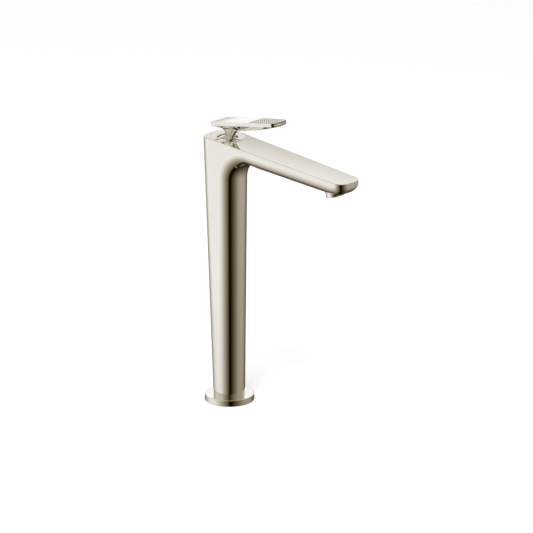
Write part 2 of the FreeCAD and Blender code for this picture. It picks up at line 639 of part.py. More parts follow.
def neck_axis(distance):
    """Point on the leaning neck's axis."""
    angle = math.radians(LEVER_LEAN)
    return PIVOT + V(0, -math.sin(angle), math.cos(angle)) * distance


def make_neck():
    """Turned neck: its inner end fits the ball cap's hole and its foot sits on the ball."""
    def at(radius, height):
        return PIVOT + V(radius, 0, height)

    def on_ball(radius):
        return at(radius, math.sqrt(DOME_R ** 2 - radius ** 2))
    low = DOME_R - SOCKET_DEPTH
    top = NECK_WAIST + NECK_FLARE
    flank = [on_ball(NECK_FOOT_R), at(NECK_WAIST_R, NECK_WAIST)]
    for share in (0.25, 0.5, 0.75, 1.0):
        swell = (NECK_TOP_R - NECK_WAIST_R) * share ** NECK_SWELL
        flank.append(at(NECK_WAIST_R + swell, NECK_WAIST + NECK_FLARE * share))
    curve = Part.BSplineCurve()
    curve.interpolate(flank)
    seat = Part.Arc(on_ball(SOCKET_R), on_ball((SOCKET_R + NECK_FOOT_R) / 2),
                    on_ball(NECK_FOOT_R))
    edges = [line(at(0, low), at(SOCKET_R, low)),
             line(at(SOCKET_R, low), on_ball(SOCKET_R)),
             seat.toShape(),
             curve.toShape(),
             line(at(NECK_TOP_R, top), at(0, top)),
             line(at(0, top), at(0, low))]
    return Part.Face(Part.Wire(edges)).revolve(PIVOT, Z_AXIS, 360)


def make_lever_handle():
    """Lever: a slim plate with a hull-shaped belly, carried by a waisted neck."""
    plate = Part.Face(lever_outline()).extrude(V(0, 0, -LEVER_BAND))
    plate = on_plate(plate.fuse(make_belly()))
    lever = plate.fuse(lean(make_neck(), LEVER_LEAN))
    lever = lever.cut(rod(SPINDLE_R + RUN_FIT, neck_axis(0), neck_axis(SPINDLE_TOP + RUN_FIT)))
    return lever.cut(screw_bar(0, 2 * NECK_TOP_R, RUN_FIT))


def screw_bar(near, far, extra=0.0):
    """Round bar that leaves the neck's axis square to the back."""
    angle = math.radians(LEVER_LEAN)
    back = V(0, math.cos(angle), math.sin(angle))
    start = neck_axis(SET_SCREW_AT)
    return rod(SET_SCREW_R + extra, start + back * near, start + back * far)


def make_set_screw():
    """Grub screw with a hexagon socket that holds the lever on its spindle."""
    near = SPINDLE_R + RUN_FIT
    far = NECK_WAIST_R - PLUG_T
    angle = math.radians(LEVER_LEAN)
    back = V(0, math.cos(angle), math.sin(angle))
    socket = rod(SET_SCREW_R / 2, neck_axis(SET_SCREW_AT) + back * (near + far) / 2,
                 neck_axis(SET_SCREW_AT) + back * (far + 1))
    return screw_bar(near, far).cut(socket)


def make_screw_plug():
    """Small plug that hides the set screw."""
    return screw_bar(NECK_WAIST_R - PLUG_T, NECK_WAIST_R)


# ---- Aerator ------------------------------------------------------------------------------------
def along_stream(shape):
    """Bring a shape built upwards from the outlet's centre onto the leaning stream."""
    placed = shape.copy()
    placed.rotate(V(0, 0, 0), X_AXIS, -OUTLET_TILT)
    placed.translate(OUTLET)
    return placed


def make_aerator_housing():
    """Screwed outer sleeve of the aerator with a small lip that holds its insert."""
    bore = AERATOR_R - AERATOR_WALL
    sleeve = ring(AERATOR_R, bore, 0, AERATOR_L)
    return along_stream(sleeve.fuse(ring(bore, bore - LIP_W, 0, INSERT_RECESS)))


def make_aerator_insert():
    """Plastic insert: a plate of small jets under a collar."""
    radius = AERATOR_R - AERATOR_WALL
    inner = radius - INSERT_WALL
    insert = disc(radius, INSERT_RECESS, INSERT_L)
    insert = insert.cut(disc(inner, INSERT_RECESS + JET_PLATE_T, INSERT_L))
    rows = int(inner / (JET_PITCH * math.sqrt(0.75)))
    for row in range(-rows, rows + 1):
        for column in range(-rows - 1, rows + 2):
            x = JET_PITCH * (column + (row % 2) / 2)
            y = JET_PITCH * row * math.sqrt(0.75)
            if math.hypot(x, y) < inner - JET_R:
                insert = insert.cut(disc(JET_R, INSERT_RECESS, JET_PLATE_T, x, y))
    return along_stream(insert)


def make_aerator_screen():
    """Fine round screen that rests on the insert."""
    radius = AERATOR_R - AERATOR_WALL - SLIP_FIT / 2
    return along_stream(disc(radius, INSERT_RECESS + INSERT_L, SCREEN_T))


def make_flow_limiter():
    """Ring that sets the flow, on top of the screen."""
    radius = AERATOR_R - AERATOR_WALL - SLIP_FIT / 2
    z = INSERT_RECESS + INSERT_L + SCREEN_T
    return along_stream(ring(radius, radius / 2, z, LIMITER_T))


def make_aerator_seal():
    """Flat rubber washer between the aerator's sleeve and the body."""
    return along_stream(ring(AERATOR_R, AERATOR_R - 2 * AERATOR_WALL, AERATOR_L, LIMITER_T))


def make_stop_ring():
    """Ring on the cartridge that limits how far hot the lever can turn."""
    outer = GUIDE_R + HOUSING_LIP_T
    stop = ring(outer, GUIDE_R - HOUSING_LIP_T, HOUSING_TOP_Z, HOUSING_LIP_T, y=CART_BACK)
    notch = Part.makeBox(PIN_R, outer, HOUSING_LIP_T, V(0, CART_BACK, HOUSING_TOP_Z))
    return stop.cut(notch)


PARTS = {
    "body_shell": make_body_shell,
    "base_flange": make_base_flange,
    "base_gasket": make_base_gasket,
    "foot_block": make_foot_block,
    "supply_tube_hot": lambda: make_supply_tube(-1),
    "supply_tube_cold": lambda: make_supply_tube(1),
    "tube_nuts": make_tube_nuts,
    "cartridge_base": make_cartridge_base,
    "cartridge_seals": make_cartridge_seals,
    "fixed_ceramic_disc": make_fixed_disc,
    "moving_ceramic_disc": make_moving_disc,
    "disc_carrier": make_disc_carrier,
    "cartridge_housing": make_cartridge_housing,
    "cartridge_o_ring": make_cartridge_o_ring,
    "cartridge_nut": make_cartridge_nut,
    "hot_limit_ring": make_stop_ring,
    "spindle_guide": make_guide,
    "spindle_pin": make_spindle_pin,
    "spindle": make_spindle,
    "cover_ring": make_cover_ring,
    "hot_mark": lambda: mark_box(-90, MARK_T),
    "cold_mark": lambda: mark_box(0, MARK_T),
    "dome_cap": make_dome_cap,
    "lever_handle": make_lever_handle,
    "handle_set_screw": make_set_screw,
    "screw_plug": make_screw_plug,
    "aerator_housing": make_aerator_housing,
    "aerator_insert": make_aerator_insert,
    "aerator_screen": make_aerator_screen,
    "flow_limiter": make_flow_limiter,
    "aerator_seal": make_aerator_seal,
}

os.makedirs("parts", exist_ok=True)
for name, make in PARTS.items():
    shape = make()
    shape.exportStep("parts/" + name + ".step")
    box = shape.BoundBox
    print(f"{name:22s} solids {len(shape.Solids)} valid {shape.isValid()} volume {shape.Volume:9.1f}",
          f"x {box.XMin:.1f}..{box.XMax:.1f} y {box.YMin:.1f}..{box.YMax:.1f}",
          f"z {box.ZMin:.1f}..{box.ZMax:.1f}")
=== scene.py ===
# %% [markdown]
# # A tall single-lever basin mixer
# The real object is a cast brass body with a bright nickel finish: a leaning column, a long flat
# spout, a lever on a ball neck, and a round flange on the deck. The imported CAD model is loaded
# first and never moved. It gives every place, and this lesson dresses it.

# %% Load the frame
import json
import math

import bmesh
import bpy
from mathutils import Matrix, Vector

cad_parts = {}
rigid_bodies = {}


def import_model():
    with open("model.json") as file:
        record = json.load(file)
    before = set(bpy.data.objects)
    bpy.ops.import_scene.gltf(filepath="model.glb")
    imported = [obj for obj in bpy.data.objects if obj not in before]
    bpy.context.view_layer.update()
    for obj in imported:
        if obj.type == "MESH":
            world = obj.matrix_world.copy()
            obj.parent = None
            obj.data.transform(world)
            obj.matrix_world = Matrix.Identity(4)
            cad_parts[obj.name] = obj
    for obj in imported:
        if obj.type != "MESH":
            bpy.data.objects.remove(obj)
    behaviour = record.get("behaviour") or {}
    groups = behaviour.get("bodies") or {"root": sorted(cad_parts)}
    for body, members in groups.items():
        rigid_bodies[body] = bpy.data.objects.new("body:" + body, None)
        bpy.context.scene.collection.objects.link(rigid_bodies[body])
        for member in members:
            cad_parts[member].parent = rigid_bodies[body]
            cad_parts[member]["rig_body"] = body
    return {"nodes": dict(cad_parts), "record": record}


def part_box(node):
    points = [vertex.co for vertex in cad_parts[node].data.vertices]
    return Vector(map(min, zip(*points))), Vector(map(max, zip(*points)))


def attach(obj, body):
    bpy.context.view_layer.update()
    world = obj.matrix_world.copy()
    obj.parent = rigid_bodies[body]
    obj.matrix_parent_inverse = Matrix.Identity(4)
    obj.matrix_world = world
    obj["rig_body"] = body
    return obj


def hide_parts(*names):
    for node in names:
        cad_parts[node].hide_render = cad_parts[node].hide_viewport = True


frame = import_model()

MM = 0.001
bpy.context.view_layer.update()

# %% [markdown]
# ## The camera
# Product pictures are taken from far away with a long lens, so that upright edges stay parallel.
# The camera stands four metres to the left, four in front and two above, and looks down a little.

# %% Camera
CAMERA_PLACE = Vector((-4.0216, -4.0748, 2.0668))
CAMERA_TURN = math.radians(-45.0)
CAMERA_DOWN = math.radians(18.59)
SENSOR = 36.0
LENS = 405.3
FARTHEST = 40.0


def make_camera():
    """Long lens on the object, level from side to side."""
    bpy.ops.object.camera_add(location=CAMERA_PLACE)
    camera = bpy.context.object
    camera.name = "camera"
    camera.data.lens = LENS
    camera.data.sensor_width = SENSOR
    camera.data.clip_end = FARTHEST
    camera.rotation_euler = (math.pi / 2 - CAMERA_DOWN, 0.0, CAMERA_TURN)
    bpy.context.scene.camera = camera
    return camera


camera = make_camera()
bpy.context.scene.view_settings.view_transform = "Standard"
print("lens in millimetres:", round(camera.data.lens, 1))

# %% [markdown]
# ## Small helpers
# Operators act on everything that is selected, so each piece starts with nothing selected. Faces
# and edges are then chosen in code, by their place or by the way they face.

# %% Selecting
SELECT_MODE = {"verts": "VERT", "edges": "EDGE", "faces": "FACE"}
NEAR = 0.01 * MM
FACING = 0.9
SQUARE_ON = 0.99


def start_clean():
    """Nothing selected, and no piece left in edit mode."""
    if bpy.context.object and bpy.context.object.mode == "EDIT":
        bpy.ops.object.mode_set(mode="OBJECT")
    bpy.ops.object.select_all(action="DESELECT")


def choose(piece):
    """Selects one piece alone and makes it the active one."""
    start_clean()
    piece.select_set(True)
    bpy.context.view_layer.objects.active = piece


def live(piece):
    """The mesh that edit mode is working on."""
    return bmesh.from_edit_mesh(piece.data)


def edit(piece):
    """Opens a piece in edit mode and returns its live mesh."""
    bpy.context.view_layer.objects.active = piece
    bpy.ops.object.mode_set(mode="EDIT")
    bpy.ops.mesh.select_mode(type="VERT")
    return live(piece)


def pick(piece, wanted, kind="faces"):
    """Selects the faces, edges or corners for which the test is true, and counts them."""
    bpy.ops.mesh.select_mode(type=SELECT_MODE[kind])
    bpy.ops.mesh.select_all(action="DESELECT")
    mesh = live(piece)
    count = 0
    for part in getattr(mesh, kind):
        if wanted(part):
            part.select_set(True)
            count += 1
    mesh.select_flush_mode()
    bmesh.update_edit_mesh(piece.data)
    return count


# %% Finishing
ROUND_SEGMENTS = 3
FLAT_WEIGHT = 60


def finish_piece(piece, name, body, replaced=()):
    """Names a piece, seats it on its body and hides the CAD nodes that it replaces."""
    piece.name = name
    piece.data.name = name
    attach(piece, body)
    if replaced:
        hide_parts(*replaced)
    print(f"{name}: {len(piece.data.polygons)} faces")
    return piece


def apply_all(piece):
    """Applies each modifier in turn."""
    choose(piece)
    for modifier in list(piece.modifiers):
        bpy.ops.object.modifier_apply(modifier=modifier.name)


def smooth(piece, degrees=35.0):
    """Smooth shading that keeps true corners, with flat faces kept flat."""
    choose(piece)
    bpy.ops.object.shade_smooth_by_angle(angle=math.radians(degrees))
    weigh = piece.modifiers.new("flat faces win", "WEIGHTED_NORMAL")
    weigh.keep_sharp = True
    weigh.weight = FLAT_WEIGHT
    apply_all(piece)


def cut_away(piece, tool):
    """Cuts a tool out of a piece and throws the tool away."""
    cutter = piece.modifiers.new("cut", "BOOLEAN")
    cutter.operation = "DIFFERENCE"
    cutter.solver = "EXACT"
    cutter.object = tool
    apply_all(piece)
    bpy.data.objects.remove(tool, do_unlink=True)


# %% [markdown]
# ## Sizes of the body
# The driving sizes of the real casting. The column is half round in front and leans out at the
# back. The spout narrows a little towards the tip, in width and in depth. The hollow of the
# elbow has a radius of 21 millimetres, which is a little more than in the CAD model.

# %% Body sizes
FLANGE_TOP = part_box("base_flange")[1].z
HEAD_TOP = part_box("body_shell")[1].z
REACH = -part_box("body_shell")[0].y
COLUMN_R_FOOT = 15.7 * MM
COLUMN_R_ELBOW = 18.0 * MM
COLUMN_FLAT = 0.6 * MM
HEAD_HALF_W = 19.3 * MM
TIP_HALF_W = 15.3 * MM
BACK_FOOT = 15.85 * MM
BACK_ELBOW = 24.2 * MM
BACK_TOP = 24.9 * MM
BACK_CORNER_R = 14.4 * MM
SPOUT_DEPTH = 17.8 * MM
SPOUT_TAPER = 1.9 * MM
SPOUT_FALL = math.radians(3.07)
ELBOW_R = 21.0 * MM
KEEL_R_ROOT = 14.2 * MM
KEEL_R_TIP = 13.0 * MM
TIP_CORNER_R = 10.5 * MM
TIP_BAND = 4.0 * MM
CHIN = 21.0 * MM
ELBOW_Y = -(COLUMN_R_ELBOW + ELBOW_R)
ELBOW_Z = HEAD_TOP + math.tan(SPOUT_FALL) * ELBOW_Y - (ELBOW_R + SPOUT_DEPTH) / math.cos(SPOUT_FALL)
print("elbow centre:", round(ELBOW_Y / MM, 2), round(ELBOW_Z / MM, 2))

# %% [markdown]
# ## Sections of the body
# Every section has the same number of points, so that one ring can be drawn out into the next.
# A half section runs from the middle of the front to the middle of the back, and its mirror
# image makes the other half.

# %% Section helpers
KEEL_STEPS = 16
SIDE_STEPS = 6
BACK_STEPS = 12
BAND_CREASE = math.radians(7.0)
BAND_FADE = 3.0
KEEL_FLAT_LEAST = 0.3


def mix(a, b, share):
    """Value between a, where the share is 0, and b, where it is 1."""
    return a + (b - a) * share


def even_steps(a, b, count):
    """Even steps from a to b, without a itself."""
    return [mix(a, b, step / count) for step in range(1, count + 1)]


def half_width(y, z):
    """Half width of the body at a place on its side."""
    if z <= ELBOW_Z:
        return mix(COLUMN_R_FOOT, COLUMN_R_ELBOW, (z - FLANGE_TOP) / (ELBOW_Z - FLANGE_TOP))
    rise = (z - ELBOW_Z) / (HEAD_TOP - ELBOW_Z)
    narrowing = (HEAD_HALF_W - TIP_HALF_W) * max(-y, 0.0) / REACH
    return mix(COLUMN_R_ELBOW, HEAD_HALF_W, rise) - narrowing * rise


def back_of(z):
    """Distance of the back wall behind the column's axis, and its corner's radius."""
    if z <= ELBOW_Z:
        share = (z - FLANGE_TOP) / (ELBOW_Z - FLANGE_TOP)
        foot_corner = COLUMN_R_FOOT - COLUMN_FLAT
        return mix(BACK_FOOT, BACK_ELBOW, share), mix(foot_corner, BACK_CORNER_R, share)
    share = (z - ELBOW_Z) / (HEAD_TOP - ELBOW_Z)
    return mix(BACK_ELBOW, BACK_TOP, share), BACK_CORNER_R


def quarter(flat, radius, width, crease=0.0):
    """Points of a rounded corner as (across, up) pairs, from its flat to its side."""
    points = []
    for step in range(KEEL_STEPS + 1):
        turn = mix(math.pi / 2, crease, step / KEEL_STEPS)
        across = math.cos(turn) / math.cos(crease)
        up = (1.0 - math.sin(turn)) / (1.0 - math.sin(crease))
        points.append((mix(flat, width, across), radius * up))
    return points


def back_arc(width, z):
    """Points of the back corner and the middle of the back, after the end of the side."""
    back, corner = back_of(z)
    points = []
    for step in range(1, BACK_STEPS + 1):
        turn = math.pi / 2 * step / BACK_STEPS
        points.append(Vector((width - corner + corner * math.cos(turn),
                              back - corner + corner * math.sin(turn), z)))
    points.append(Vector((0.0, back, z)))
    return points


def both_sides(half, closed=True):
    """Adds the mirror image of a half section."""
    inner = half[1:-1] if closed else half[1:]
    return half + [Vector((-p.x, p.y, p.z)) for p in reversed(inner)]


def column_section(z):
    """Level section of the column."""
    radius = half_width(0.0, z)
    corner = radius - COLUMN_FLAT
    half = [Vector((0.0, -radius, z))]
    half += [Vector((x, -radius + up, z)) for x, up in quarter(COLUMN_FLAT, corner, radius)]
    back, back_corner = back_of(z)
    side = even_steps(-COLUMN_FLAT, back - back_corner, SIDE_STEPS)
    half += [Vector((radius, y, z)) for y in side]
    return both_sides(half + back_arc(radius, z))


def elbow_section(turn, closed):
    """Section in a plane through the elbow's centre: keel, sides and, low down, the back."""
    share = turn / (math.pi / 2 + SPOUT_FALL)
    radius = mix(COLUMN_R_ELBOW - COLUMN_FLAT, KEEL_R_ROOT, share)
    out_y, out_z = math.cos(turn), math.sin(turn)

    def at(x, distance):
        return Vector((x, ELBOW_Y + out_y * distance, ELBOW_Z + out_z * distance))
    shoulder = at(0.0, ELBOW_R + radius)
    width = half_width(shoulder.y, shoulder.z)
    half = [at(0.0, ELBOW_R)]
    half += [at(x, ELBOW_R + up) for x, up in quarter(width - radius, radius, width)]
    if closed:
        back, corner = back_of(ELBOW_Z + math.tan(turn) * (BACK_TOP - BACK_CORNER_R - ELBOW_Y))
        far = (back - corner - ELBOW_Y) / out_y
    elif ELBOW_Y + out_y * (HEAD_TOP - ELBOW_Z) / out_z > 0.0:
        far = (HEAD_TOP - ELBOW_Z) / out_z
    else:
        drop = HEAD_TOP - ELBOW_Z + math.tan(SPOUT_FALL) * ELBOW_Y
        far = drop / (out_z - math.tan(SPOUT_FALL) * out_y)
    end = at(0.0, far)
    end.x = half_width(end.y, end.z)
    for along in even_steps(0.0, 1.0, SIDE_STEPS):
        half.append(Vector((mix(width, end.x, along), mix(shoulder.y, end.y, along),
                            mix(shoulder.z, end.z, along))))
    if not closed:
        return both_sides(half, closed=False)
    return both_sides(half + back_arc(end.x, end.z))


def spout_section(reach):
    """Open section of the spout: keel and sides, up to the edge of the top face."""
    top = HEAD_TOP - math.tan(SPOUT_FALL) * reach
    chin = max(0.0, (reach - REACH + CHIN) / CHIN)
    share = (reach + ELBOW_Y) / (REACH + ELBOW_Y)
    full = (SPOUT_DEPTH - SPOUT_TAPER * share) / math.cos(SPOUT_FALL)
    depth = TIP_BAND + (full - TIP_BAND) * math.sqrt(max(0.0, 1.0 - chin * chin))
    width = half_width(-reach, HEAD_TOP)
    past = max(0.0, reach - REACH + TIP_CORNER_R)
    width += math.sqrt(max(0.0, TIP_CORNER_R ** 2 - past ** 2)) - TIP_CORNER_R
    keel = mix(KEEL_R_ROOT, KEEL_R_TIP, share)
    fade = min(1.0, BAND_FADE * share)
    band = mix(full - keel, TIP_BAND, fade)
    crease = BAND_CREASE * fade
    upright = math.sin(SPOUT_FALL) * (1.0 - chin)
    flat = max(width - keel, KEEL_FLAT_LEAST * width)

    def at(x, below):
        return Vector((x, -reach + upright * below, top - below))
    half = [at(0.0, depth)]
    half += [at(x, depth - up) for x, up in quarter(flat, depth - band, width, crease)]
    half += [at(width, below) for below in even_steps(band, 0.0, SIDE_STEPS)]
    return both_sides(half, closed=False)


print("points in a closed section:", len(column_section(FLANGE_TOP)))

# %% [markdown]
# ## The body's skin
# A casting like this could be lofted from curves or sculpted from a block. Here one ring at the
# foot is drawn out ring by ring, up the column, round the elbow and along the spout, because
# even rings give a mirror finish clean reflections. From the back edge of the head onwards the
# ring stays open on top, and the flat top face closes it at the end.

# %% Where the rings stand
COLUMN_RINGS = 14
LOW_ELBOW_RINGS = 9
CORNER_RINGS = 2
HIGH_ELBOW_RINGS = 14
SPOUT_RINGS = 10
CHIN_RINGS = 5
TIP_RINGS = 10
LAST_SIDE = 1 + KEEL_STEPS + SIDE_STEPS
HEAD_TURN = math.atan2(HEAD_TOP - ELBOW_Z, BACK_TOP - BACK_CORNER_R - ELBOW_Y)
LEVEL_TURN = math.atan2(HEAD_TOP - ELBOW_Z, -ELBOW_Y)
END_TURN = math.pi / 2 + SPOUT_FALL


def open_turns():
    """Directions of the elbow's open sections, seen from the elbow's centre."""
    return (even_steps(HEAD_TURN, LEVEL_TURN, CORNER_RINGS)
            + even_steps(LEVEL_TURN, END_TURN, HIGH_ELBOW_RINGS))


def spout_reaches():
    """Distances of the spout's sections ahead of the column's axis."""
    start = -elbow_section(END_TURN, closed=False)[LAST_SIDE].y
    chin, corner = REACH - CHIN, REACH - TIP_CORNER_R
    corner_turns = even_steps(0.0, math.pi / 2, TIP_RINGS)
    return (even_steps(start, chin, SPOUT_RINGS) + even_steps(chin, corner, CHIN_RINGS)
            + [corner + TIP_CORNER_R * math.sin(turn) for turn in corner_turns])


print("open rings:", len(open_turns()) + len(spout_reaches()))

# %% Draw out the rings
def start_ring(section):
    """Ring on a first section. Each corner remembers its spot in the section."""
    start_clean()
    bpy.ops.mesh.primitive_circle_add(vertices=len(section), radius=COLUMN_R_FOOT,
                                      location=(0.0, 0.0, 0.0))
    piece = bpy.context.object
    mesh = edit(piece)
    spot = mesh.verts.layers.int.new("spot")
    mesh.verts.ensure_lookup_table()
    for number, corner in enumerate(mesh.verts):
        corner[spot] = number
        corner.co = section[number]
    bmesh.update_edit_mesh(piece.data)
    bpy.ops.mesh.select_mode(type="EDGE")
    bpy.ops.mesh.select_all(action="SELECT")
    return piece


def draw_out(piece, section, keep=None):
    """Draws the selected ring out once and sets its corners on the next section."""
    bpy.ops.mesh.extrude_edges_move()
    mesh = live(piece)
    spot = mesh.verts.layers.int["spot"]
    for corner in mesh.verts:
        if corner.select:
            corner.co = section[keep[corner[spot]] if keep else corner[spot]]
    bmesh.update_edit_mesh(piece.data)


def open_ring(piece, count):
    """Leaves the back of the ring behind, and gives each spot that stays its new place."""
    open_spots = list(range(LAST_SIDE + 1)) + list(range(count - LAST_SIDE, count))
    keep = {number: place for place, number in enumerate(open_spots)}
    mesh = live(piece)
    spot = mesh.verts.layers.int["spot"]
    chosen = [e for e in mesh.edges if e.select and all(v[spot] in keep for v in e.verts)
              and {v[spot] for v in e.verts} != {LAST_SIDE, count - LAST_SIDE}]
    bpy.ops.mesh.select_all(action="DESELECT")
    for e in chosen:
        e.select_set(True)
    bmesh.update_edit_mesh(piece.data)
    return keep


def make_body_skin():
    """Draws the whole skin out of one ring at the foot, and closes the tip."""
    first = column_section(FLANGE_TOP)
    piece = start_ring(first)
    for z in even_steps(FLANGE_TOP, ELBOW_Z, COLUMN_RINGS):
        draw_out(piece, column_section(z))
    for turn in even_steps(0.0, HEAD_TURN, LOW_ELBOW_RINGS):
        draw_out(piece, elbow_section(turn, closed=True))
    keep = open_ring(piece, len(first))
    for turn in open_turns():
        draw_out(piece, elbow_section(turn, closed=False), keep)
    for reach in spout_reaches():
        draw_out(piece, spout_section(reach), keep)
    bpy.ops.mesh.edge_face_add()
    return piece


body = make_body_skin()
print("corners drawn:", len(live(body).verts))

# %% Close the top and the foot
EDGE_ROUND = 0.4 * MM


def on_top(point):
    """True for a corner on the edge of the top face."""
    surface = HEAD_TOP + math.tan(SPOUT_FALL) * min(point.y, 0.0)
    return abs(point.z - surface) < NEAR


def close_body(piece):
    """Puts on the flat top and the foot's face, and rounds the top's edge."""
    pick(piece, lambda e: e.is_boundary and all(on_top(v.co) for v in e.verts), "edges")
    bpy.ops.mesh.edge_face_add()
    pick(piece, lambda e: e.is_boundary, "edges")
    bpy.ops.mesh.edge_face_add()
    bpy.ops.mesh.select_all(action="SELECT")
    bpy.ops.mesh.normals_make_consistent(inside=False)
    middle = pick(piece, lambda v: on_top(v.co) and abs(v.co.y) < NEAR, "verts")
    bpy.ops.mesh.vert_connect()
    rim = pick(piece, lambda e: len(e.link_faces) == 2 and all(on_top(v.co) for v in e.verts)
               and sum(f.normal.z > FACING for f in e.link_faces) == 1, "edges")
    bpy.ops.mesh.bevel(offset=EDGE_ROUND, segments=ROUND_SEGMENTS, affect="EDGES")
    bpy.ops.object.mode_set(mode="OBJECT")
    piece.data.attributes.remove(piece.data.attributes["spot"])
    print("joined across the head:", middle, "rim edges:", rim)


close_body(body)

# %% [markdown]
# ## Bores in the body
# The casting is hollow. Three tools are cut out of the skin: the cartridge's stepped bore in the
# head, the hollow column and the socket of the aerator.

# %% Bore sizes
CART_BACK = 2.0 * MM
COVER_R = 17.6 * MM
COVER_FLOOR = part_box("cover_ring")[0].z
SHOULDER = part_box("cartridge_o_ring")[1].z
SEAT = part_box("cartridge_base")[0].z
SEAT_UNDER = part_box("tube_nuts")[1].z
NUT_R = (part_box("cartridge_nut")[1].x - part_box("cartridge_nut")[0].x) / 2
CHAMBER_R = 14.3 * MM
COLUMN_WALL = 2.5 * MM
COLUMN_FLARE = 2.0 * MM
OUTLET = Vector((0.0, -149.2 * MM, 249.5 * MM))
OUTLET_TILT = math.radians(17.0)
AERATOR_R = 8.9 * MM
AERATOR_FIT = 0.2 * MM
SOCKET_DEPTH = 14.2 * MM
SLIP = 0.1 * MM
PAST = 5.0 * MM
OVERLAP = 1.0 * MM
BORE_STEPS = 96
print("cartridge seat under the top:", round((HEAD_TOP - SEAT) / MM, 1))

# %% Cut the bores
def cylinder_tool(radius, low, high, y=0.0, top_radius=None):
    """Upright round cutting tool between two heights."""
    start_clean()
    bpy.ops.mesh.primitive_cone_add(vertices=BORE_STEPS, radius1=radius,
                                    radius2=top_radius or radius, depth=high - low,
                                    location=(0.0, y, (low + high) / 2))
    return bpy.context.object


def cut_bores(piece):
    """Cuts the cartridge's stepped bore, the hollow column and the aerator's socket."""
    above = HEAD_TOP + PAST
    cut_away(piece, cylinder_tool(COVER_R + SLIP, COVER_FLOOR, above, CART_BACK))
    cut_away(piece, cylinder_tool(NUT_R + SLIP, SHOULDER, above, CART_BACK))
    cut_away(piece, cylinder_tool(CHAMBER_R, SEAT, SHOULDER + OVERLAP, CART_BACK))
    foot = COLUMN_R_FOOT - COLUMN_WALL
    cut_away(piece, cylinder_tool(foot, FLANGE_TOP - PAST, SEAT_UNDER, 0.0, foot + COLUMN_FLARE))
    start_clean()
    bpy.ops.mesh.primitive_cylinder_add(vertices=BORE_STEPS, radius=AERATOR_R + AERATOR_FIT,
                                        depth=2 * SOCKET_DEPTH, location=OUTLET,
                                        rotation=(-OUTLET_TILT, 0.0, 0.0))
    cut_away(piece, bpy.context.object)


cut_bores(body)
smooth(body)
finish_piece(body, "body", "faucet_body", ["body_shell"])

# %% [markdown]
# ## The lever
# The lever is one casting: a slim plate, a hull-shaped belly under it and a waisted neck. It
# could be joined from three solids, but a mirror finish shows every seam. So the top starts as
# a grid, and the grid's outline is drawn out ring by ring: down the edge, inwards under the
# belly, through the fillet and down the neck.

# %% Lever sizes
LEVER_LEAN = math.radians(12.5)
LEVER_SLOPE = math.radians(10.6)
LEVER_BACK = 14.8 * MM
LEVER_BACK_Z = HEAD_TOP + 15.5 * MM
LEVER_LEN = 87.9 * MM
LEVER_HALF_BACK = 12.8 * MM
LEVER_HALF_FRONT = 10.5 * MM
LEVER_BAND = 3.9 * MM
LEVER_BACK_CORNER = 4.0 * MM
LEVER_FRONT_CORNER = 1.8 * MM
ROLL_LEN = 24.0 * MM
ROLL_DROP = 0.7 * MM
CORNER_ROWS = 5
PLAIN_ROWS = 28
GRIP_START = 53.8 * MM
GRIP_ROWS = 12
GRIP_COLUMNS = 8
GRIP_RISE = 0.5 * MM
PLATE_ROUND = 0.2 * MM


def on_plate(across, back, up):
    """A place on the tilted plate: sideways, distance from its back edge, height above its top."""
    y = LEVER_BACK - back * math.cos(LEVER_SLOPE) + up * math.sin(LEVER_SLOPE)
    z = LEVER_BACK_Z + back * math.sin(LEVER_SLOPE) + up * math.cos(LEVER_SLOPE)
    return Vector((across, y, z))


def lever_half(back):
    """Half width of the plate at a distance from its back edge."""
    width = mix(LEVER_HALF_BACK, LEVER_HALF_FRONT, back / LEVER_LEN)
    if back < LEVER_BACK_CORNER:
        short = LEVER_BACK_CORNER - back
        width += math.sqrt(LEVER_BACK_CORNER ** 2 - short ** 2) - LEVER_BACK_CORNER
    cut = back - (LEVER_LEN - LEVER_FRONT_CORNER)
    return width - max(cut, 0.0)


def lever_rows():
    """Distances of the grid's rows from the back edge."""
    turns = [math.pi / 2 * step / CORNER_ROWS for step in range(CORNER_ROWS + 1)]
    corner = [LEVER_BACK_CORNER * (1 - math.cos(turn)) for turn in turns]
    plain = even_steps(LEVER_BACK_CORNER, GRIP_START, PLAIN_ROWS)
    grip = even_steps(GRIP_START, LEVER_LEN - LEVER_FRONT_CORNER, GRIP_ROWS)
    return corner + plain + grip + [LEVER_LEN]


print("rows in the plate's grid:", len(lever_rows()))

# %% The plate's top
def plate_roll(back):
    """How far the plate dips towards its back edge."""
    return ROLL_DROP * max(0.0, 1.0 - back / ROLL_LEN) ** 2


def make_plate_top():
    """Grid on the plate's top. Each corner remembers its place on the flat plate."""
    rows = lever_rows()
    start_clean()
    bpy.ops.mesh.primitive_grid_add(x_subdivisions=GRIP_COLUMNS, y_subdivisions=len(rows) - 1,
                                    size=2.0, location=(0.0, 0.0, 0.0))
    piece = bpy.context.object
    mesh = edit(piece)
    across = mesh.verts.layers.float.new("across")
    behind = mesh.verts.layers.float.new("behind")
    for corner in mesh.verts:
        back = rows[round((1.0 - corner.co.y) / 2.0 * (len(rows) - 1))]
        corner[across] = corner.co.x * lever_half(back)
        corner[behind] = back
        corner.co = on_plate(corner[across], back, -plate_roll(back))
    bmesh.update_edit_mesh(piece.data)
    return piece


lever = make_plate_top()
print("corners on the plate:", len(live(lever).verts))

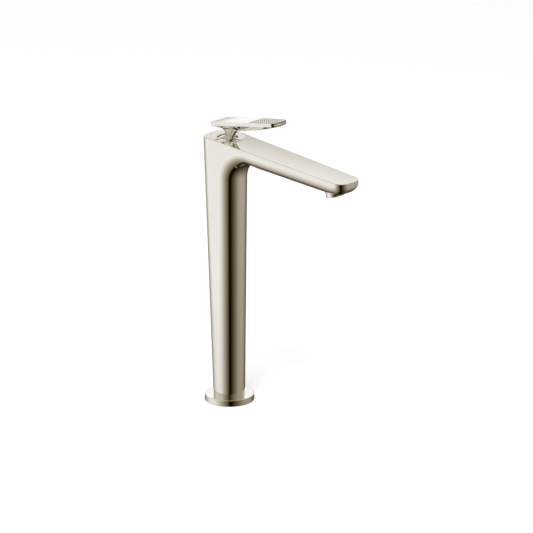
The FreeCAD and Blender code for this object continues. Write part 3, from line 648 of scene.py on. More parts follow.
# %% Belly and neck sizes
PIVOT = Vector((0.0, CART_BACK, HEAD_TOP - 17.9 * MM))
DOME_R = 19.0 * MM
BELLY_CENTRE = 17.2 * MM
BELLY_BACK = 0.6 * MM
BELLY_NECK = 7.3 * MM
BELLY_FRONT = 1.2 * MM
BELLY_BACK_LEN = 16.0 * MM
BELLY_FRONT_AT = 34.0 * MM
BELLY_CURVE = 1.4
BELLY_FULL = 1.5
FILLET_SIDE = (9.5 * MM, 2.6 * MM, 2.6 * MM)
FILLET_AHEAD = (17.0 * MM, 6.0 * MM, 5.0 * MM)
FILLET_MOST = 0.9
A_LITTLE = 0.01
NECK_AXIS = Vector((0.0, -math.sin(LEVER_LEAN), math.cos(LEVER_LEAN)))
NECK_AHEAD = Vector((0.0, -math.cos(LEVER_LEAN), -math.sin(LEVER_LEAN)))
WAIST = (5.6 * MM, 20.6 * MM)
NECK_RINGS = [(5.66 * MM, 19.9 * MM), (5.78 * MM, 19.2 * MM), (5.84 * MM, 18.6 * MM),
              (5.7 * MM, 18.14 * MM), (4.6 * MM, 18.45 * MM), (4.6 * MM, 13.0 * MM)]
print("waist above the pivot:", round(WAIST[1] / MM, 1))

# %% Places on the belly and the neck
def belly_depth(across, back):
    """Depth of the belly under the plate's edge band."""
    if back < BELLY_BACK_LEN:
        rise = math.sin(math.pi / 2 * back / BELLY_BACK_LEN)
        depth = mix(BELLY_BACK, BELLY_NECK, rise)
    else:
        share = max(0.0, (back - BELLY_FRONT_AT) / (LEVER_LEN - BELLY_FRONT_AT))
        depth = mix(BELLY_NECK, BELLY_FRONT, share ** BELLY_CURVE)
    side = min(1.0, abs(across) / lever_half(back))
    return depth * (1.0 - side ** BELLY_FULL)


def under_plate(across, back):
    """Place on the belly's surface."""
    return on_plate(across, back, -LEVER_BAND - plate_roll(back) - belly_depth(across, back))


def fillet_size(across, back):
    """Fillet towards a point of the outline: its width, its pull on the belly and on the neck."""
    ahead = max(0.0, math.cos(math.atan2(across, back - BELLY_CENTRE))) ** 2
    return [mix(side, front, ahead) for side, front in zip(FILLET_SIDE, FILLET_AHEAD)]


def belly_place(across, back, share):
    """Place on the belly between the fillet, at 0, and the plate's outline, at 1."""
    run = math.hypot(across, back - BELLY_CENTRE)
    start = min(fillet_size(across, back)[0], FILLET_MOST * run) / run
    reach = mix(start, 1.0, share)
    return under_plate(across * reach, mix(BELLY_CENTRE, back, reach))


def neck_place(across, back, ring):
    """Place on a ring of the neck, in the same direction as a point of the outline."""
    radius, height = ring
    turn = math.atan2(across, back - BELLY_CENTRE)
    around = Vector((math.sin(turn), 0.0, 0.0)) + NECK_AHEAD * math.cos(turn)
    return PIVOT + NECK_AXIS * height + around * radius


def fillet_place(across, back, share):
    """Place on the curve that leads from the belly, at 0, into the neck's waist, at 1."""
    outer = belly_place(across, back, 0.0)
    outward = (belly_place(across, back, A_LITTLE) - outer).normalized()
    waist = neck_place(across, back, WAIST)
    pull_out, pull_up = fillet_size(across, back)[1:]
    near_belly = outer - outward * pull_out
    near_neck = waist + NECK_AXIS * pull_up
    rest = 1.0 - share
    return (outer * rest ** 3 + near_belly * 3 * share * rest ** 2
            + near_neck * 3 * share ** 2 * rest + waist * share ** 3)


print("belly at the neck:", round(belly_depth(0.0, BELLY_CENTRE) / MM, 2))

# %% Draw out the underside
BELLY_RINGS = 14
FILLET_RINGS = 10


def draw_ring(piece, place):
    """Draws the selected outline out once and sets each corner from its remembered place."""
    bpy.ops.mesh.extrude_edges_move()
    mesh = live(piece)
    across = mesh.verts.layers.float["across"]
    behind = mesh.verts.layers.float["behind"]
    for corner in mesh.verts:
        if corner.select:
            corner.co = place(corner[across], corner[behind])
    bmesh.update_edit_mesh(piece.data)


def draw_underside(piece):
    """Draws the outline down the edge, under the belly, through the fillet and down the neck."""
    pick(piece, lambda e: e.is_boundary, "edges")
    draw_ring(piece, lambda x, u: on_plate(x, u, -(LEVER_BAND + belly_depth(x, u)) / 2))
    draw_ring(piece, under_plate)
    for step in range(BELLY_RINGS - 1, -1, -1):
        draw_ring(piece, lambda x, u: belly_place(x, u, step / BELLY_RINGS))
    for step in range(1, FILLET_RINGS + 1):
        draw_ring(piece, lambda x, u: fillet_place(x, u, step / FILLET_RINGS))
    for ring in NECK_RINGS:
        draw_ring(piece, lambda x, u: neck_place(x, u, ring))
    bpy.ops.mesh.edge_face_add()
    bpy.ops.mesh.select_all(action="SELECT")
    bpy.ops.mesh.normals_make_consistent(inside=False)


draw_underside(lever)
print("corners in the lever:", len(live(lever).verts))

# %% Round the plate's rim and raise the grip
PLATE_UP = on_plate(0.0, 0.0, 1.0) - on_plate(0.0, 0.0, 0.0)
PLATE_AHEAD = on_plate(0.0, 1.0, 0.0) - on_plate(0.0, 0.0, 0.0)
GRIP_CELL_LEAST = 1.5 * MM ** 2


def plate_back(point):
    """Distance of a place from the plate's back edge."""
    return (point - on_plate(0.0, 0.0, 0.0)).dot(PLATE_AHEAD)


def plate_height(point):
    """Height of a place above the plate's flat top."""
    return (point - on_plate(0.0, 0.0, 0.0)).dot(PLATE_UP)


def on_rim(edge):
    """True for an edge between the plate's top and its side."""
    tops = sum(face.normal.dot(PLATE_UP) > FACING for face in edge.link_faces)
    high = all(plate_height(v.co) > -LEVER_BAND / 3 for v in edge.verts)
    return high and len(edge.link_faces) == 2 and tops == 1


def in_grip(face):
    """True for a cell of the grip, on the plate's top or on its front end."""
    ahead = plate_back(face.calc_center_median())
    upper = face.normal.dot(PLATE_UP) > SQUARE_ON and ahead > GRIP_START
    front = face.normal.dot(PLATE_AHEAD) > SQUARE_ON and ahead > SQUARE_ON * LEVER_LEN
    return len(face.verts) >= 4 and face.calc_area() > GRIP_CELL_LEAST and (upper or front)


def raise_grip(piece):
    """Rounds the plate's rim and raises a low pyramid on each cell of the grip."""
    rim = pick(piece, on_rim, "edges")
    bpy.ops.mesh.bevel(offset=PLATE_ROUND, segments=ROUND_SEGMENTS, affect="EDGES")
    cells = pick(piece, in_grip)
    bpy.ops.mesh.poke(offset=GRIP_RISE)
    bpy.ops.object.mode_set(mode="OBJECT")
    print("rim edges:", rim, "grip cells:", cells)


raise_grip(lever)

# %% Bores in the lever
SPINDLE_R = 3.0 * MM
SPINDLE_TOP = DOME_R + 12.0 * MM
RUN_FIT = 0.05 * MM
SCREW_R = 2.0 * MM
SCREW_AT = 24.1 * MM
SCREW_REACH = 7.2 * MM
PLUG_T = 0.9 * MM


def rod_tool(radius, start, end, corners=48):
    """Round bar between two places."""
    start_clean()
    run = end - start
    turn = run.to_track_quat("Z", "Y").to_euler()
    bpy.ops.mesh.primitive_cylinder_add(vertices=corners, radius=radius, depth=run.length,
                                        location=(start + end) / 2, rotation=turn)
    return bpy.context.object


SCREW_FOOT = PIVOT + NECK_AXIS * SCREW_AT
cut_away(lever, rod_tool(SPINDLE_R + RUN_FIT, PIVOT, PIVOT + NECK_AXIS * (SPINDLE_TOP + RUN_FIT)))
cut_away(lever, rod_tool(SCREW_R + RUN_FIT, SCREW_FOOT, SCREW_FOOT - NECK_AHEAD * SCREW_REACH))
for memory in ("across", "behind"):
    lever.data.attributes.remove(lever.data.attributes[memory])
smooth(lever, 24.0)
finish_piece(lever, "lever", "lever", ["lever_handle"])

# %% [markdown]
# ## Plug in the lever's neck
# A grub screw holds the lever on its spindle, and a small plug hides it. A short round bar
# would do, but its rim is rounded here, so that it shows as a ring of light in the neck.

# %% Screw plug
SHARP = math.radians(57.0)
PLUG_ROUND = 0.25 * MM


def settle(piece):
    """Puts the object at the origin, with its place in its mesh."""
    choose(piece)
    bpy.ops.object.transform_apply(location=True, rotation=True, scale=True)
    return piece


def round_edges(piece, wanted, width, segments=ROUND_SEGMENTS):
    """Rounds the chosen edges."""
    edit(piece)
    count = pick(piece, wanted, "edges")
    bpy.ops.mesh.bevel(offset=width, segments=segments, affect="EDGES")
    bpy.ops.object.mode_set(mode="OBJECT")
    return count


def make_plug():
    """Round plug that ends flush with the neck's waist, with its outer rim rounded."""
    end = SCREW_FOOT - NECK_AHEAD * WAIST[0]
    piece = settle(rod_tool(SCREW_R, end + NECK_AHEAD * PLUG_T, end))
    rim = round_edges(piece, lambda e: len(e.link_faces) == 2 and e.calc_face_angle() > SHARP
                      and all((v.co - end).dot(NECK_AHEAD) < PLUG_T / 2 for v in e.verts),
                      PLUG_ROUND)
    print("plug rim:", rim)
    smooth(piece)
    return finish_piece(piece, "screw_cap", "lever", ["screw_plug"])


plug = make_plug()

# %% [markdown]
# ## Turned parts
# The flange, the cover, the ball cap and the aerator's sleeve are turned on a lathe. A closed
# profile is spun round the axis in the same way, and its sharp edges are then rounded, because
# a real edge always catches a line of light.

# %% The lathe
TURN_STEPS = 160
WELD = 0.002 * MM


def turned(profile, steps=TURN_STEPS):
    """Ring turned from a closed profile of (radius, height) corners."""
    start_clean()
    bpy.ops.mesh.primitive_circle_add(vertices=len(profile), radius=MM)
    piece = bpy.context.object
    mesh = edit(piece)
    mesh.verts.ensure_lookup_table()
    for corner, (radius, height) in zip(mesh.verts, profile):
        corner.co = Vector((0.0, -radius, height))
    bmesh.update_edit_mesh(piece.data)
    bpy.ops.mesh.select_all(action="SELECT")
    bpy.ops.mesh.spin(steps=steps, angle=2 * math.pi, center=(0.0, 0.0, 0.0),
                      axis=(0.0, 0.0, 1.0))
    bpy.ops.mesh.select_all(action="SELECT")
    bpy.ops.mesh.remove_doubles(threshold=WELD)
    bpy.ops.mesh.select_all(action="SELECT")
    bpy.ops.mesh.normals_make_consistent(inside=False)
    bpy.ops.object.mode_set(mode="OBJECT")
    return piece


def circle_at(radius, height):
    """Test for the edges of one turned circle."""
    def is_there(edge):
        return all(abs(math.hypot(v.co.x, v.co.y) - radius) < NEAR
                   and abs(v.co.z - height) < NEAR for v in edge.verts)
    return is_there


# %% [markdown]
# ### The flange
# The flange covers the hole in the deck. It could be a plain disc, but the real one has a
# stepped bore for the foot block, a soft edge on top and a groove for the gasket below. All of
# it lies in one profile, so it is turned in one go.

# %% Flange
FLANGE_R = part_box("base_flange")[1].x
GASKET_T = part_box("base_gasket")[1].z
GASKET_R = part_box("base_gasket")[1].x
GASKET_W = 4.0 * MM
FOOT_R = 13.05 * MM
STEP_R = 15.45 * MM
STEP_TOP = 4.0 * MM
FLANGE_ROUND = 0.45 * MM
DECK_ROUND = 0.2 * MM


def make_flange():
    """Disc with a stepped bore and the gasket's groove."""
    gasket_in = GASKET_R - GASKET_W
    profile = [(FLANGE_R, 0.0), (FLANGE_R, FLANGE_TOP), (FOOT_R, FLANGE_TOP), (FOOT_R, STEP_TOP),
               (STEP_R, STEP_TOP), (STEP_R, 0.0), (gasket_in, 0.0), (gasket_in, GASKET_T),
               (GASKET_R, GASKET_T), (GASKET_R, 0.0)]
    piece = turned(profile)
    round_edges(piece, circle_at(FLANGE_R, FLANGE_TOP), FLANGE_ROUND, 4)
    round_edges(piece, circle_at(FLANGE_R, 0.0), DECK_ROUND, 2)
    smooth(piece, 25.0)
    return finish_piece(piece, "flange", "faucet_body", ["base_flange"])


flange = make_flange()

# %% [markdown]
# ### The cover and its marks
# A round cover is let flush into the head, and a blue and a red stroke of enamel on it say cold
# and hot. Paint would do from afar. Here each stroke is a small piece of its own in a pocket of
# the cover, as poured enamel is, so that its edge catches the light.

# %% Cover and its marks
COVER_HOLE_R = 10.6 * MM
COVER_ROUND = 0.3 * MM
COVER_HOLE_ROUND = 0.35 * MM
MARK_LEN = 5.0 * MM
MARK_W = 2.2 * MM
MARK_T = 0.35 * MM
MARK_CORNER_R = 0.35 * MM
MARK_EDGE_R = 0.06 * MM
MARK_GAP = 0.04 * MM


def mark_bar(turn, spare):
    """Small bar along the cover's radius, a little larger all over by what is spare."""
    start_clean()
    middle = (COVER_HOLE_R + COVER_R) / 2
    place = Vector((math.sin(turn) * -middle, CART_BACK - math.cos(turn) * middle,
                    HEAD_TOP - MARK_T / 2))
    bpy.ops.mesh.primitive_cube_add(size=1.0, location=place, rotation=(0.0, 0.0, -turn))
    bar = bpy.context.object
    bar.scale = (MARK_W + spare, MARK_LEN + spare, MARK_T + spare)
    return settle(bar)


def make_mark(name, turn, node):
    """Enamel stroke with rounded corners and a softly rounded top edge."""
    piece = mark_bar(turn, 0.0)
    corners = round_edges(piece, lambda e: abs(e.verts[0].co.z - e.verts[1].co.z) > MARK_T / 2,
                          MARK_CORNER_R, 4)
    round_edges(piece, lambda e: all(abs(v.co.z - HEAD_TOP) < NEAR for v in e.verts),
                MARK_EDGE_R, 2)
    print(name, "corners rounded:", corners)
    smooth(piece)
    return finish_piece(piece, name, "faucet_body", [node])


def make_cover():
    """Flat ring with a pocket for each stroke."""
    profile = [(COVER_R, COVER_FLOOR), (COVER_R, HEAD_TOP), (COVER_HOLE_R, HEAD_TOP),
               (COVER_HOLE_R, COVER_FLOOR)]
    piece = turned(profile)
    round_edges(piece, circle_at(COVER_R, HEAD_TOP), COVER_ROUND)
    round_edges(piece, circle_at(COVER_HOLE_R, HEAD_TOP), COVER_HOLE_ROUND)
    piece.location.y = CART_BACK
    settle(piece)
    for turn in (0.0, math.pi / 2):
        tool = mark_bar(turn, MARK_GAP)
        tool.location.z = MARK_GAP / 2
        cut_away(piece, tool)
    smooth(piece, 25.0)
    return finish_piece(piece, "cover", "faucet_body", ["cover_ring"])


cover = make_cover()
red_stroke = make_mark("hot_stroke", math.pi / 2, "hot_mark")
blue_stroke = make_mark("cold_stroke", 0.0, "cold_mark")

# %% [markdown]
# ### The ball cap
# Under the lever's neck sits a shell that is part of a ball round the lever's pivot, so the hole
# in the cover stays closed while the lever moves. A ball primitive could be cut down to it. An
# outer and an inner arc spun round the neck's axis give even walls at once.

# %% Ball cap
DOME_T = 1.5 * MM
DOME_SPARE = math.radians(1.0)
DOME_ANGLE = math.asin(COVER_HOLE_R / DOME_R) + LEVER_LEAN + DOME_SPARE
DOME_STEPS = 18
SOCKET_R = 4.65 * MM


def body_of(node):
    """Name of the body that a node of the frame rides on."""
    return frame["nodes"][node]["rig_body"]


def arc(radius, first, last):
    """Profile points round the ball's centre, between two angles from the neck's axis."""
    turns = [mix(first, last, step / DOME_STEPS) for step in range(DOME_STEPS + 1)]
    return [(radius * math.sin(turn), radius * math.cos(turn)) for turn in turns]


def make_dome():
    """Part of a ball: an outer and an inner arc, spun round the neck's axis."""
    rim = DOME_R * math.cos(DOME_ANGLE)
    inner = DOME_R - DOME_T
    profile = arc(DOME_R, math.asin(SOCKET_R / DOME_R), DOME_ANGLE)
    profile += arc(inner, math.acos(rim / inner), math.asin(SOCKET_R / inner))
    piece = turned(profile)
    piece.rotation_euler.x = LEVER_LEAN
    piece.location = PIVOT
    settle(piece)
    smooth(piece)
    return finish_piece(piece, "ball_cap", body_of("dome_cap"), ["dome_cap"])


dome = make_dome()

# %% [markdown]
# ### The aerator's sleeve
# The sleeve holds the screen that mixes air into the water. It leans a little, so that the jet
# falls ahead of the column. It is turned upright first and leaned last, because the lathe's
# tests for edges only know an upright axis.

# %% Aerator sleeve
AERATOR_LEN = 12.0 * MM
AERATOR_BORE = 7.8 * MM
LIP_W = 0.7 * MM
LIP_T = 1.0 * MM
SLEEVE_ROUND = 0.35 * MM
LIP_ROUND = 0.2 * MM


def make_sleeve():
    """Open tube with an inner lip at its mouth."""
    lip = AERATOR_BORE - LIP_W
    profile = [(AERATOR_R, 0.0), (AERATOR_R, AERATOR_LEN), (AERATOR_BORE, AERATOR_LEN),
               (AERATOR_BORE, LIP_T), (lip, LIP_T), (lip, 0.0)]
    piece = turned(profile, BORE_STEPS)
    round_edges(piece, circle_at(AERATOR_R, 0.0), SLEEVE_ROUND)
    round_edges(piece, circle_at(lip, 0.0), LIP_ROUND)
    piece.rotation_euler.x = -OUTLET_TILT
    piece.location = OUTLET
    settle(piece)
    smooth(piece, 28.0)
    return finish_piece(piece, "aerator_sleeve", "faucet_body",
                        ["aerator_housing"])


sleeve = make_sleeve()

# %% [markdown]
# ## Shared effects
# Several finishes need the same things: soft smudges where hands go, a fine grain, and the
# lines that a lathe leaves. Each is a node group, so that every material can use it with its
# own values.

# %% Group helpers
def new_group(name, inputs, outputs):
    """Node group with named sockets: inputs as (name, type, value), outputs as (name, type)."""
    group = bpy.data.node_groups.new(name, "ShaderNodeTree")
    for label, kind, value in inputs:
        socket = group.interface.new_socket(name=label, in_out="INPUT", socket_type=kind)
        if value is not None:
            socket.default_value = value
    for label, kind in outputs:
        group.interface.new_socket(name=label, in_out="OUTPUT", socket_type=kind)
    return group, group.nodes.new("NodeGroupInput"), group.nodes.new("NodeGroupOutput")


def wire(tree, source, target):
    """Leads an output into an input."""
    tree.links.new(source, target)


def feed(tree, value, target):
    """Leads an output into an input, or sets a plain value there."""
    if isinstance(value, bpy.types.NodeSocket):
        wire(tree, value, target)
    else:
        target.default_value = value


def math_node(tree, operation, first, second=0.0):
    """Arithmetic on outputs or plain numbers."""
    node = tree.nodes.new("ShaderNodeMath")
    node.operation = operation
    feed(tree, first, node.inputs[0])
    feed(tree, second, node.inputs[1])
    return node.outputs["Value"]


def height_share(tree, height, low, high):
    """Soft step of a height: 0 up to the low mark and 1 from the high mark on."""
    share = tree.nodes.new("ShaderNodeMapRange")
    share.interpolation_type = "SMOOTHSTEP"
    share.inputs["From Min"].default_value = low
    share.inputs["From Max"].default_value = high
    wire(tree, height, share.inputs["Value"])
    return share.outputs["Result"]


def mix_node(tree, kind, share, first, second):
    """Blend of two numbers, FLOAT, or two colours, RGBA: the first where the share is 0."""
    node = tree.nodes.new("ShaderNodeMix")
    node.data_type = kind
    wire(tree, share, node.inputs["Factor"])
    feed(tree, first, node.inputs["A"])
    feed(tree, second, node.inputs["B"])
    return node.outputs["Result"]


def axes(tree, place):
    """The X, Y and Z of a place, each as an output."""
    node = tree.nodes.new("ShaderNodeSeparateXYZ")
    wire(tree, place, node.inputs["Vector"])
    return node.outputs


def blur_noise(tree, place, scale, detail, rough=0.5):
    """Noise on a place, with its scale given by a socket or a number."""
    node = tree.nodes.new("ShaderNodeTexNoise")
    node.inputs["Detail"].default_value = detail
    node.inputs["Roughness"].default_value = rough
    wire(tree, place, node.inputs["Vector"])
    feed(tree, scale, node.inputs["Scale"])
    return node.outputs["Fac"]


# %% Smudges
FINE_TIMES = 9.0
WIDE_SHARE = 0.8
FINE_SHARE = 0.2
SMUDGE_MARKS = (0.42, 0.68)


def make_smudge_group():
    """Roughness that varies softly, as on a polished surface that has been touched and wiped."""
    group, start, end = new_group(
        "hand_smudges",
        [("Place", "NodeSocketVector", None), ("Clean", "NodeSocketFloat", 0.06),
         ("Touched", "NodeSocketFloat", 0.1), ("Scale", "NodeSocketFloat", 60.0)],
        [("Roughness", "NodeSocketFloat"), ("Mask", "NodeSocketFloat")])
    wide = blur_noise(group, start.outputs["Place"], start.outputs["Scale"], 3.0, 0.55)
    fine_scale = math_node(group, "MULTIPLY", start.outputs["Scale"], FINE_TIMES)
    fine = blur_noise(group, start.outputs["Place"], fine_scale, 2.0)
    both = math_node(group, "ADD", math_node(group, "MULTIPLY", wide, WIDE_SHARE),
                     math_node(group, "MULTIPLY", fine, FINE_SHARE))
    mask = height_share(group, both, *SMUDGE_MARKS)
    spread = group.nodes.new("ShaderNodeMapRange")
    wire(group, mask, spread.inputs["Value"])
    wire(group, start.outputs["Clean"], spread.inputs["To Min"])
    wire(group, start.outputs["Touched"], spread.inputs["To Max"])
    wire(group, spread.outputs["Result"], end.inputs["Roughness"])
    wire(group, mask, end.inputs["Mask"])
    return group


SMUDGES = make_smudge_group()
print("effect:", SMUDGES.name)

# %% Grain
PATCH_TIMES = 0.12


def make_grain_group():
    """Fine height of a moulded or cast surface, and two tones that follow it."""
    group, start, end = new_group(
        "fine_grain",
        [("Place", "NodeSocketVector", None), ("Scale", "NodeSocketFloat", 900.0),
         ("Light tone", "NodeSocketColor", (0.8, 0.8, 0.8, 1.0)),
         ("Dark tone", "NodeSocketColor", (0.6, 0.6, 0.6, 1.0))],
        [("Height", "NodeSocketFloat"), ("Color", "NodeSocketColor")])
    grain = blur_noise(group, start.outputs["Place"], start.outputs["Scale"], 4.0, 0.6)
    patch_scale = math_node(group, "MULTIPLY", start.outputs["Scale"], PATCH_TIMES)
    patch = blur_noise(group, start.outputs["Place"], patch_scale, 2.0)
    tone = mix_node(group, "RGBA", patch, start.outputs["Light tone"], start.outputs["Dark tone"])
    wire(group, grain, end.inputs["Height"])
    wire(group, tone, end.inputs["Color"])
    return group


GRAIN = make_grain_group()
print("effect:", GRAIN.name)

# %% Lathe lines
WOBBLE_SCALE = 180.0


def make_lathe_group():
    """Height of the fine rings that a turning tool leaves round a vertical axis."""
    group, start, end = new_group(
        "lathe_lines",
        [("Place", "NodeSocketVector", None), ("Lines per metre", "NodeSocketFloat", 2500.0),
         ("Waviness", "NodeSocketFloat", 0.3)],
        [("Height", "NodeSocketFloat")])
    x, y, z = axes(group, start.outputs["Place"])
    squares = math_node(group, "ADD", math_node(group, "MULTIPLY", x, x),
                        math_node(group, "MULTIPLY", y, y))
    path = math_node(group, "ADD", math_node(group, "SQRT", squares), z)
    wobble = blur_noise(group, start.outputs["Place"], WOBBLE_SCALE, 2.0)
    lines = math_node(group, "MULTIPLY", path, start.outputs["Lines per metre"])
    shift = math_node(group, "MULTIPLY", wobble, start.outputs["Waviness"])
    turns = math_node(group, "ADD", lines, shift)
    wave = math_node(group, "SINE", math_node(group, "MULTIPLY", turns, 2 * math.pi))
    wire(group, wave, end.inputs["Height"])
    return group


LATHE = make_lathe_group()
print("effect:", LATHE.name)

# %% [markdown]
# ## Finishes
# The visible metal is polished nickel: a warm mirror whose only texture is faint handling and
# the slightest waviness of hand polishing. Inside are turned brass, copper, moulded plastic,
# ceramic, rubber and steel, each with the grain that its making leaves.

# %% Material helpers
def new_material(name, color=None, metallic=0.0, roughness=None, **plain):
    """Material with its constant values set on the shader itself."""
    material = bpy.data.materials.new(name)
    material.use_nodes = True
    shader = material.node_tree.nodes["Principled BSDF"]
    if color:
        shader.inputs["Base Color"].default_value = (*color, 1.0)
    if roughness is not None:
        shader.inputs["Roughness"].default_value = roughness
    shader.inputs["Metallic"].default_value = metallic
    for label, value in plain.items():
        shader.inputs[label.replace("_", " ")].default_value = value
    return material, shader


def object_place(tree):
    """Places on the piece, in metres in its own frame."""
    return tree.nodes.new("ShaderNodeTexCoord").outputs["Object"]


def use_group(tree, group, place, **values):
    """Places a shared effect in a material, with this material's own values."""
    node = tree.nodes.new("ShaderNodeGroup")
    node.node_tree = group
    wire(tree, place, node.inputs["Place"])
    for label, value in values.items():
        node.inputs[label.replace("_", " ")].default_value = value
    return node


def add_bump(tree, height, shader, strength, distance):
    """Lets a height tilt the light on the surface without moving it."""
    bump = tree.nodes.new("ShaderNodeBump")
    bump.inputs["Strength"].default_value = strength
    bump.inputs["Distance"].default_value = distance
    wire(tree, height, bump.inputs["Height"])
    wire(tree, bump.outputs["Normal"], shader.inputs["Normal"])


# %% [markdown]
# ### Nickel
# Nickel is a shade warmer than chrome. With one flat colour and one roughness it would look too
# perfect, so soft smudges change both a little, and a wide, shallow bump stands for the
# waviness of hand polishing.

# %% Nickel
NICKEL_BRIGHT = (0.885, 0.868, 0.825)
NICKEL_DULL = (0.85, 0.825, 0.765)
DULL_MOST = 0.35
POLISH_SCALE = 55.0
POLISH_STRENGTH = 0.02
POLISH_DEPTH = 0.2 * MM


def make_nickel():
    """Polished nickel: a warm mirror with faint smudges."""
    material, shader = new_material("polished_nickel", metallic=1.0)
    tree = material.node_tree
    place = object_place(tree)
    smudges = use_group(tree, SMUDGES, place, Clean=0.02, Touched=0.05, Scale=38.0)
    wire(tree, smudges.outputs["Roughness"], shader.inputs["Roughness"])
    dull = math_node(tree, "MULTIPLY", smudges.outputs["Mask"], DULL_MOST)
    tone = mix_node(tree, "RGBA", dull, (*NICKEL_BRIGHT, 1.0), (*NICKEL_DULL, 1.0))
    wire(tree, tone, shader.inputs["Base Color"])
    polish = blur_noise(tree, place, POLISH_SCALE, 1.0)
    add_bump(tree, polish, shader, POLISH_STRENGTH, POLISH_DEPTH)
    return material


NICKEL = make_nickel()
print("finish:", NICKEL.name)

# %% [markdown]
# ### Turned metals
# Brass, copper and steel pieces hide inside. They keep the rings of the lathe, which a bump
# gives more cheaply than geometry, and their tone dulls in patches.

# %% Turned metals
METAL_WEAR = 0.15
RING_STRENGTH = 0.25
RING_DEPTH = 0.02 * MM


def make_turned_metal(name, bright, dull, rough, lines):
    """Machined metal: lathe lines, and a tone that dulls in patches."""
    material, shader = new_material(name, metallic=1.0)
    tree = material.node_tree
    place = object_place(tree)
    smudges = use_group(tree, SMUDGES, place, Clean=rough, Touched=rough + METAL_WEAR, Scale=90.0)
    wire(tree, smudges.outputs["Roughness"], shader.inputs["Roughness"])
    grain = use_group(tree, GRAIN, place, Scale=700.0, Light_tone=(*bright, 1.0),
                      Dark_tone=(*dull, 1.0))
    wire(tree, grain.outputs["Color"], shader.inputs["Base Color"])
    cut = use_group(tree, LATHE, place, Lines_per_metre=lines, Waviness=0.4)
    add_bump(tree, cut.outputs["Height"], shader, RING_STRENGTH, RING_DEPTH)
    return material


BRASS = make_turned_metal("turned_brass", (0.80, 0.60, 0.30), (0.62, 0.44, 0.20), 0.24, 2200.0)
COPPER = make_turned_metal("copper_tube", (0.83, 0.45, 0.30), (0.66, 0.32, 0.20), 0.2, 900.0)
STEEL = make_turned_metal("ground_steel", (0.66, 0.66, 0.67), (0.52, 0.52, 0.54), 0.18, 3500.0)
print("finishes:", BRASS.name, COPPER.name, STEEL.name)

# %% [markdown]
# ### Moulded and fired pieces
# Plastic, rubber, ceramic and enamel differ in colour, in gloss and in how deep their grain is,
# so one function makes them all. The enamel shines less than usual, because its strokes are so
# small that a highlight would hide their colour.

# %% Moulded and fired pieces
MOULD_WEAR = 0.12
GRAIN_STRENGTH = 0.3


def make_moulded(name, light, dark, rough, grain_scale, depth, shine=0.5):
    """Plastic, rubber or ceramic: a fine grain with patchy tone and roughness."""
    material, shader = new_material(name, Specular_IOR_Level=shine)
    tree = material.node_tree
    place = object_place(tree)
    grain = use_group(tree, GRAIN, place, Scale=grain_scale, Light_tone=(*light, 1.0),
                      Dark_tone=(*dark, 1.0))
    wire(tree, grain.outputs["Color"], shader.inputs["Base Color"])
    smudges = use_group(tree, SMUDGES, place, Clean=rough, Touched=rough + MOULD_WEAR, Scale=70.0)
    wire(tree, smudges.outputs["Roughness"], shader.inputs["Roughness"])
    add_bump(tree, grain.outputs["Height"], shader, GRAIN_STRENGTH, depth)
    return material


WHITE_PLASTIC = make_moulded("white_plastic", (0.78, 0.78, 0.76), (0.70, 0.70, 0.68), 0.38,
                             1400.0, 0.02 * MM)
GREY_PLASTIC = make_moulded("grey_plastic", (0.33, 0.34, 0.35), (0.26, 0.27, 0.28), 0.42,
                            1400.0, 0.02 * MM)
CERAMIC = make_moulded("fired_ceramic", (0.88, 0.87, 0.83), (0.82, 0.80, 0.76), 0.12,
                       2600.0, 0.006 * MM)
RUBBER = make_moulded("black_rubber", (0.030, 0.030, 0.030), (0.018, 0.018, 0.018), 0.6,
                      1100.0, 0.05 * MM)
RED_ENAMEL = make_moulded("red_enamel", (0.38, 0.03, 0.02), (0.32, 0.022, 0.016), 0.4,
                          1800.0, 0.01 * MM, shine=0.15)
BLUE_ENAMEL = make_moulded("blue_enamel", (0.02, 0.09, 0.26), (0.015, 0.07, 0.21), 0.4,
                           1800.0, 0.01 * MM, shine=0.15)
print("finishes:", WHITE_PLASTIC.name, GREY_PLASTIC.name, CERAMIC.name, RUBBER.name,
      RED_ENAMEL.name, BLUE_ENAMEL.name)

# %% [markdown]
# ### Dress every piece
# The pieces made here get their finish one by one. The nodes of the CAD model that stay, such as
# the cartridge and the tubes, get theirs by the material that their record names.

# %% Dress every piece
FINISHES = {
    "polished_nickel": NICKEL, "raw_brass": BRASS, "copper_tube": COPPER, "steel": STEEL,
    "white_plastic": WHITE_PLASTIC, "grey_plastic": GREY_PLASTIC, "ceramic": CERAMIC,
    "black_rubber": RUBBER, "red_enamel": RED_ENAMEL, "blue_enamel": BLUE_ENAMEL,
}


def dress(piece, material):
    """Gives a piece one material in place of all it has."""
    piece.data.materials.clear()
    piece.data.materials.append(material)


def node_slots():
    """Material slot of each node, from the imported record."""
    return {part["node"]: part["material_slot"] for part in frame["record"]["subparts"]}


for piece in (body, lever, plug, flange, cover, dome, sleeve):
    dress(piece, NICKEL)
dress(red_stroke, RED_ENAMEL)
dress(blue_stroke, BLUE_ENAMEL)
slots = node_slots()
for name, node in frame["nodes"].items():
    dress(node, FINISHES[slots[name]])
print("nodes dressed:", len(frame["nodes"]))

# %% [markdown]
# ## The studio
# Polished metal shows its surroundings, so the surroundings are designed: a round wall, seen
# only in reflections. A picture of a real studio could light it too, but then nothing could be
# placed. Low down, a black card stands behind the camera and runs on under the object. To the
# left of it the wall is bright, and to the right it is a warm grey. Higher up come lighter and
# darker panels, then a slanted band that lights the flat tops, and more panels above it.

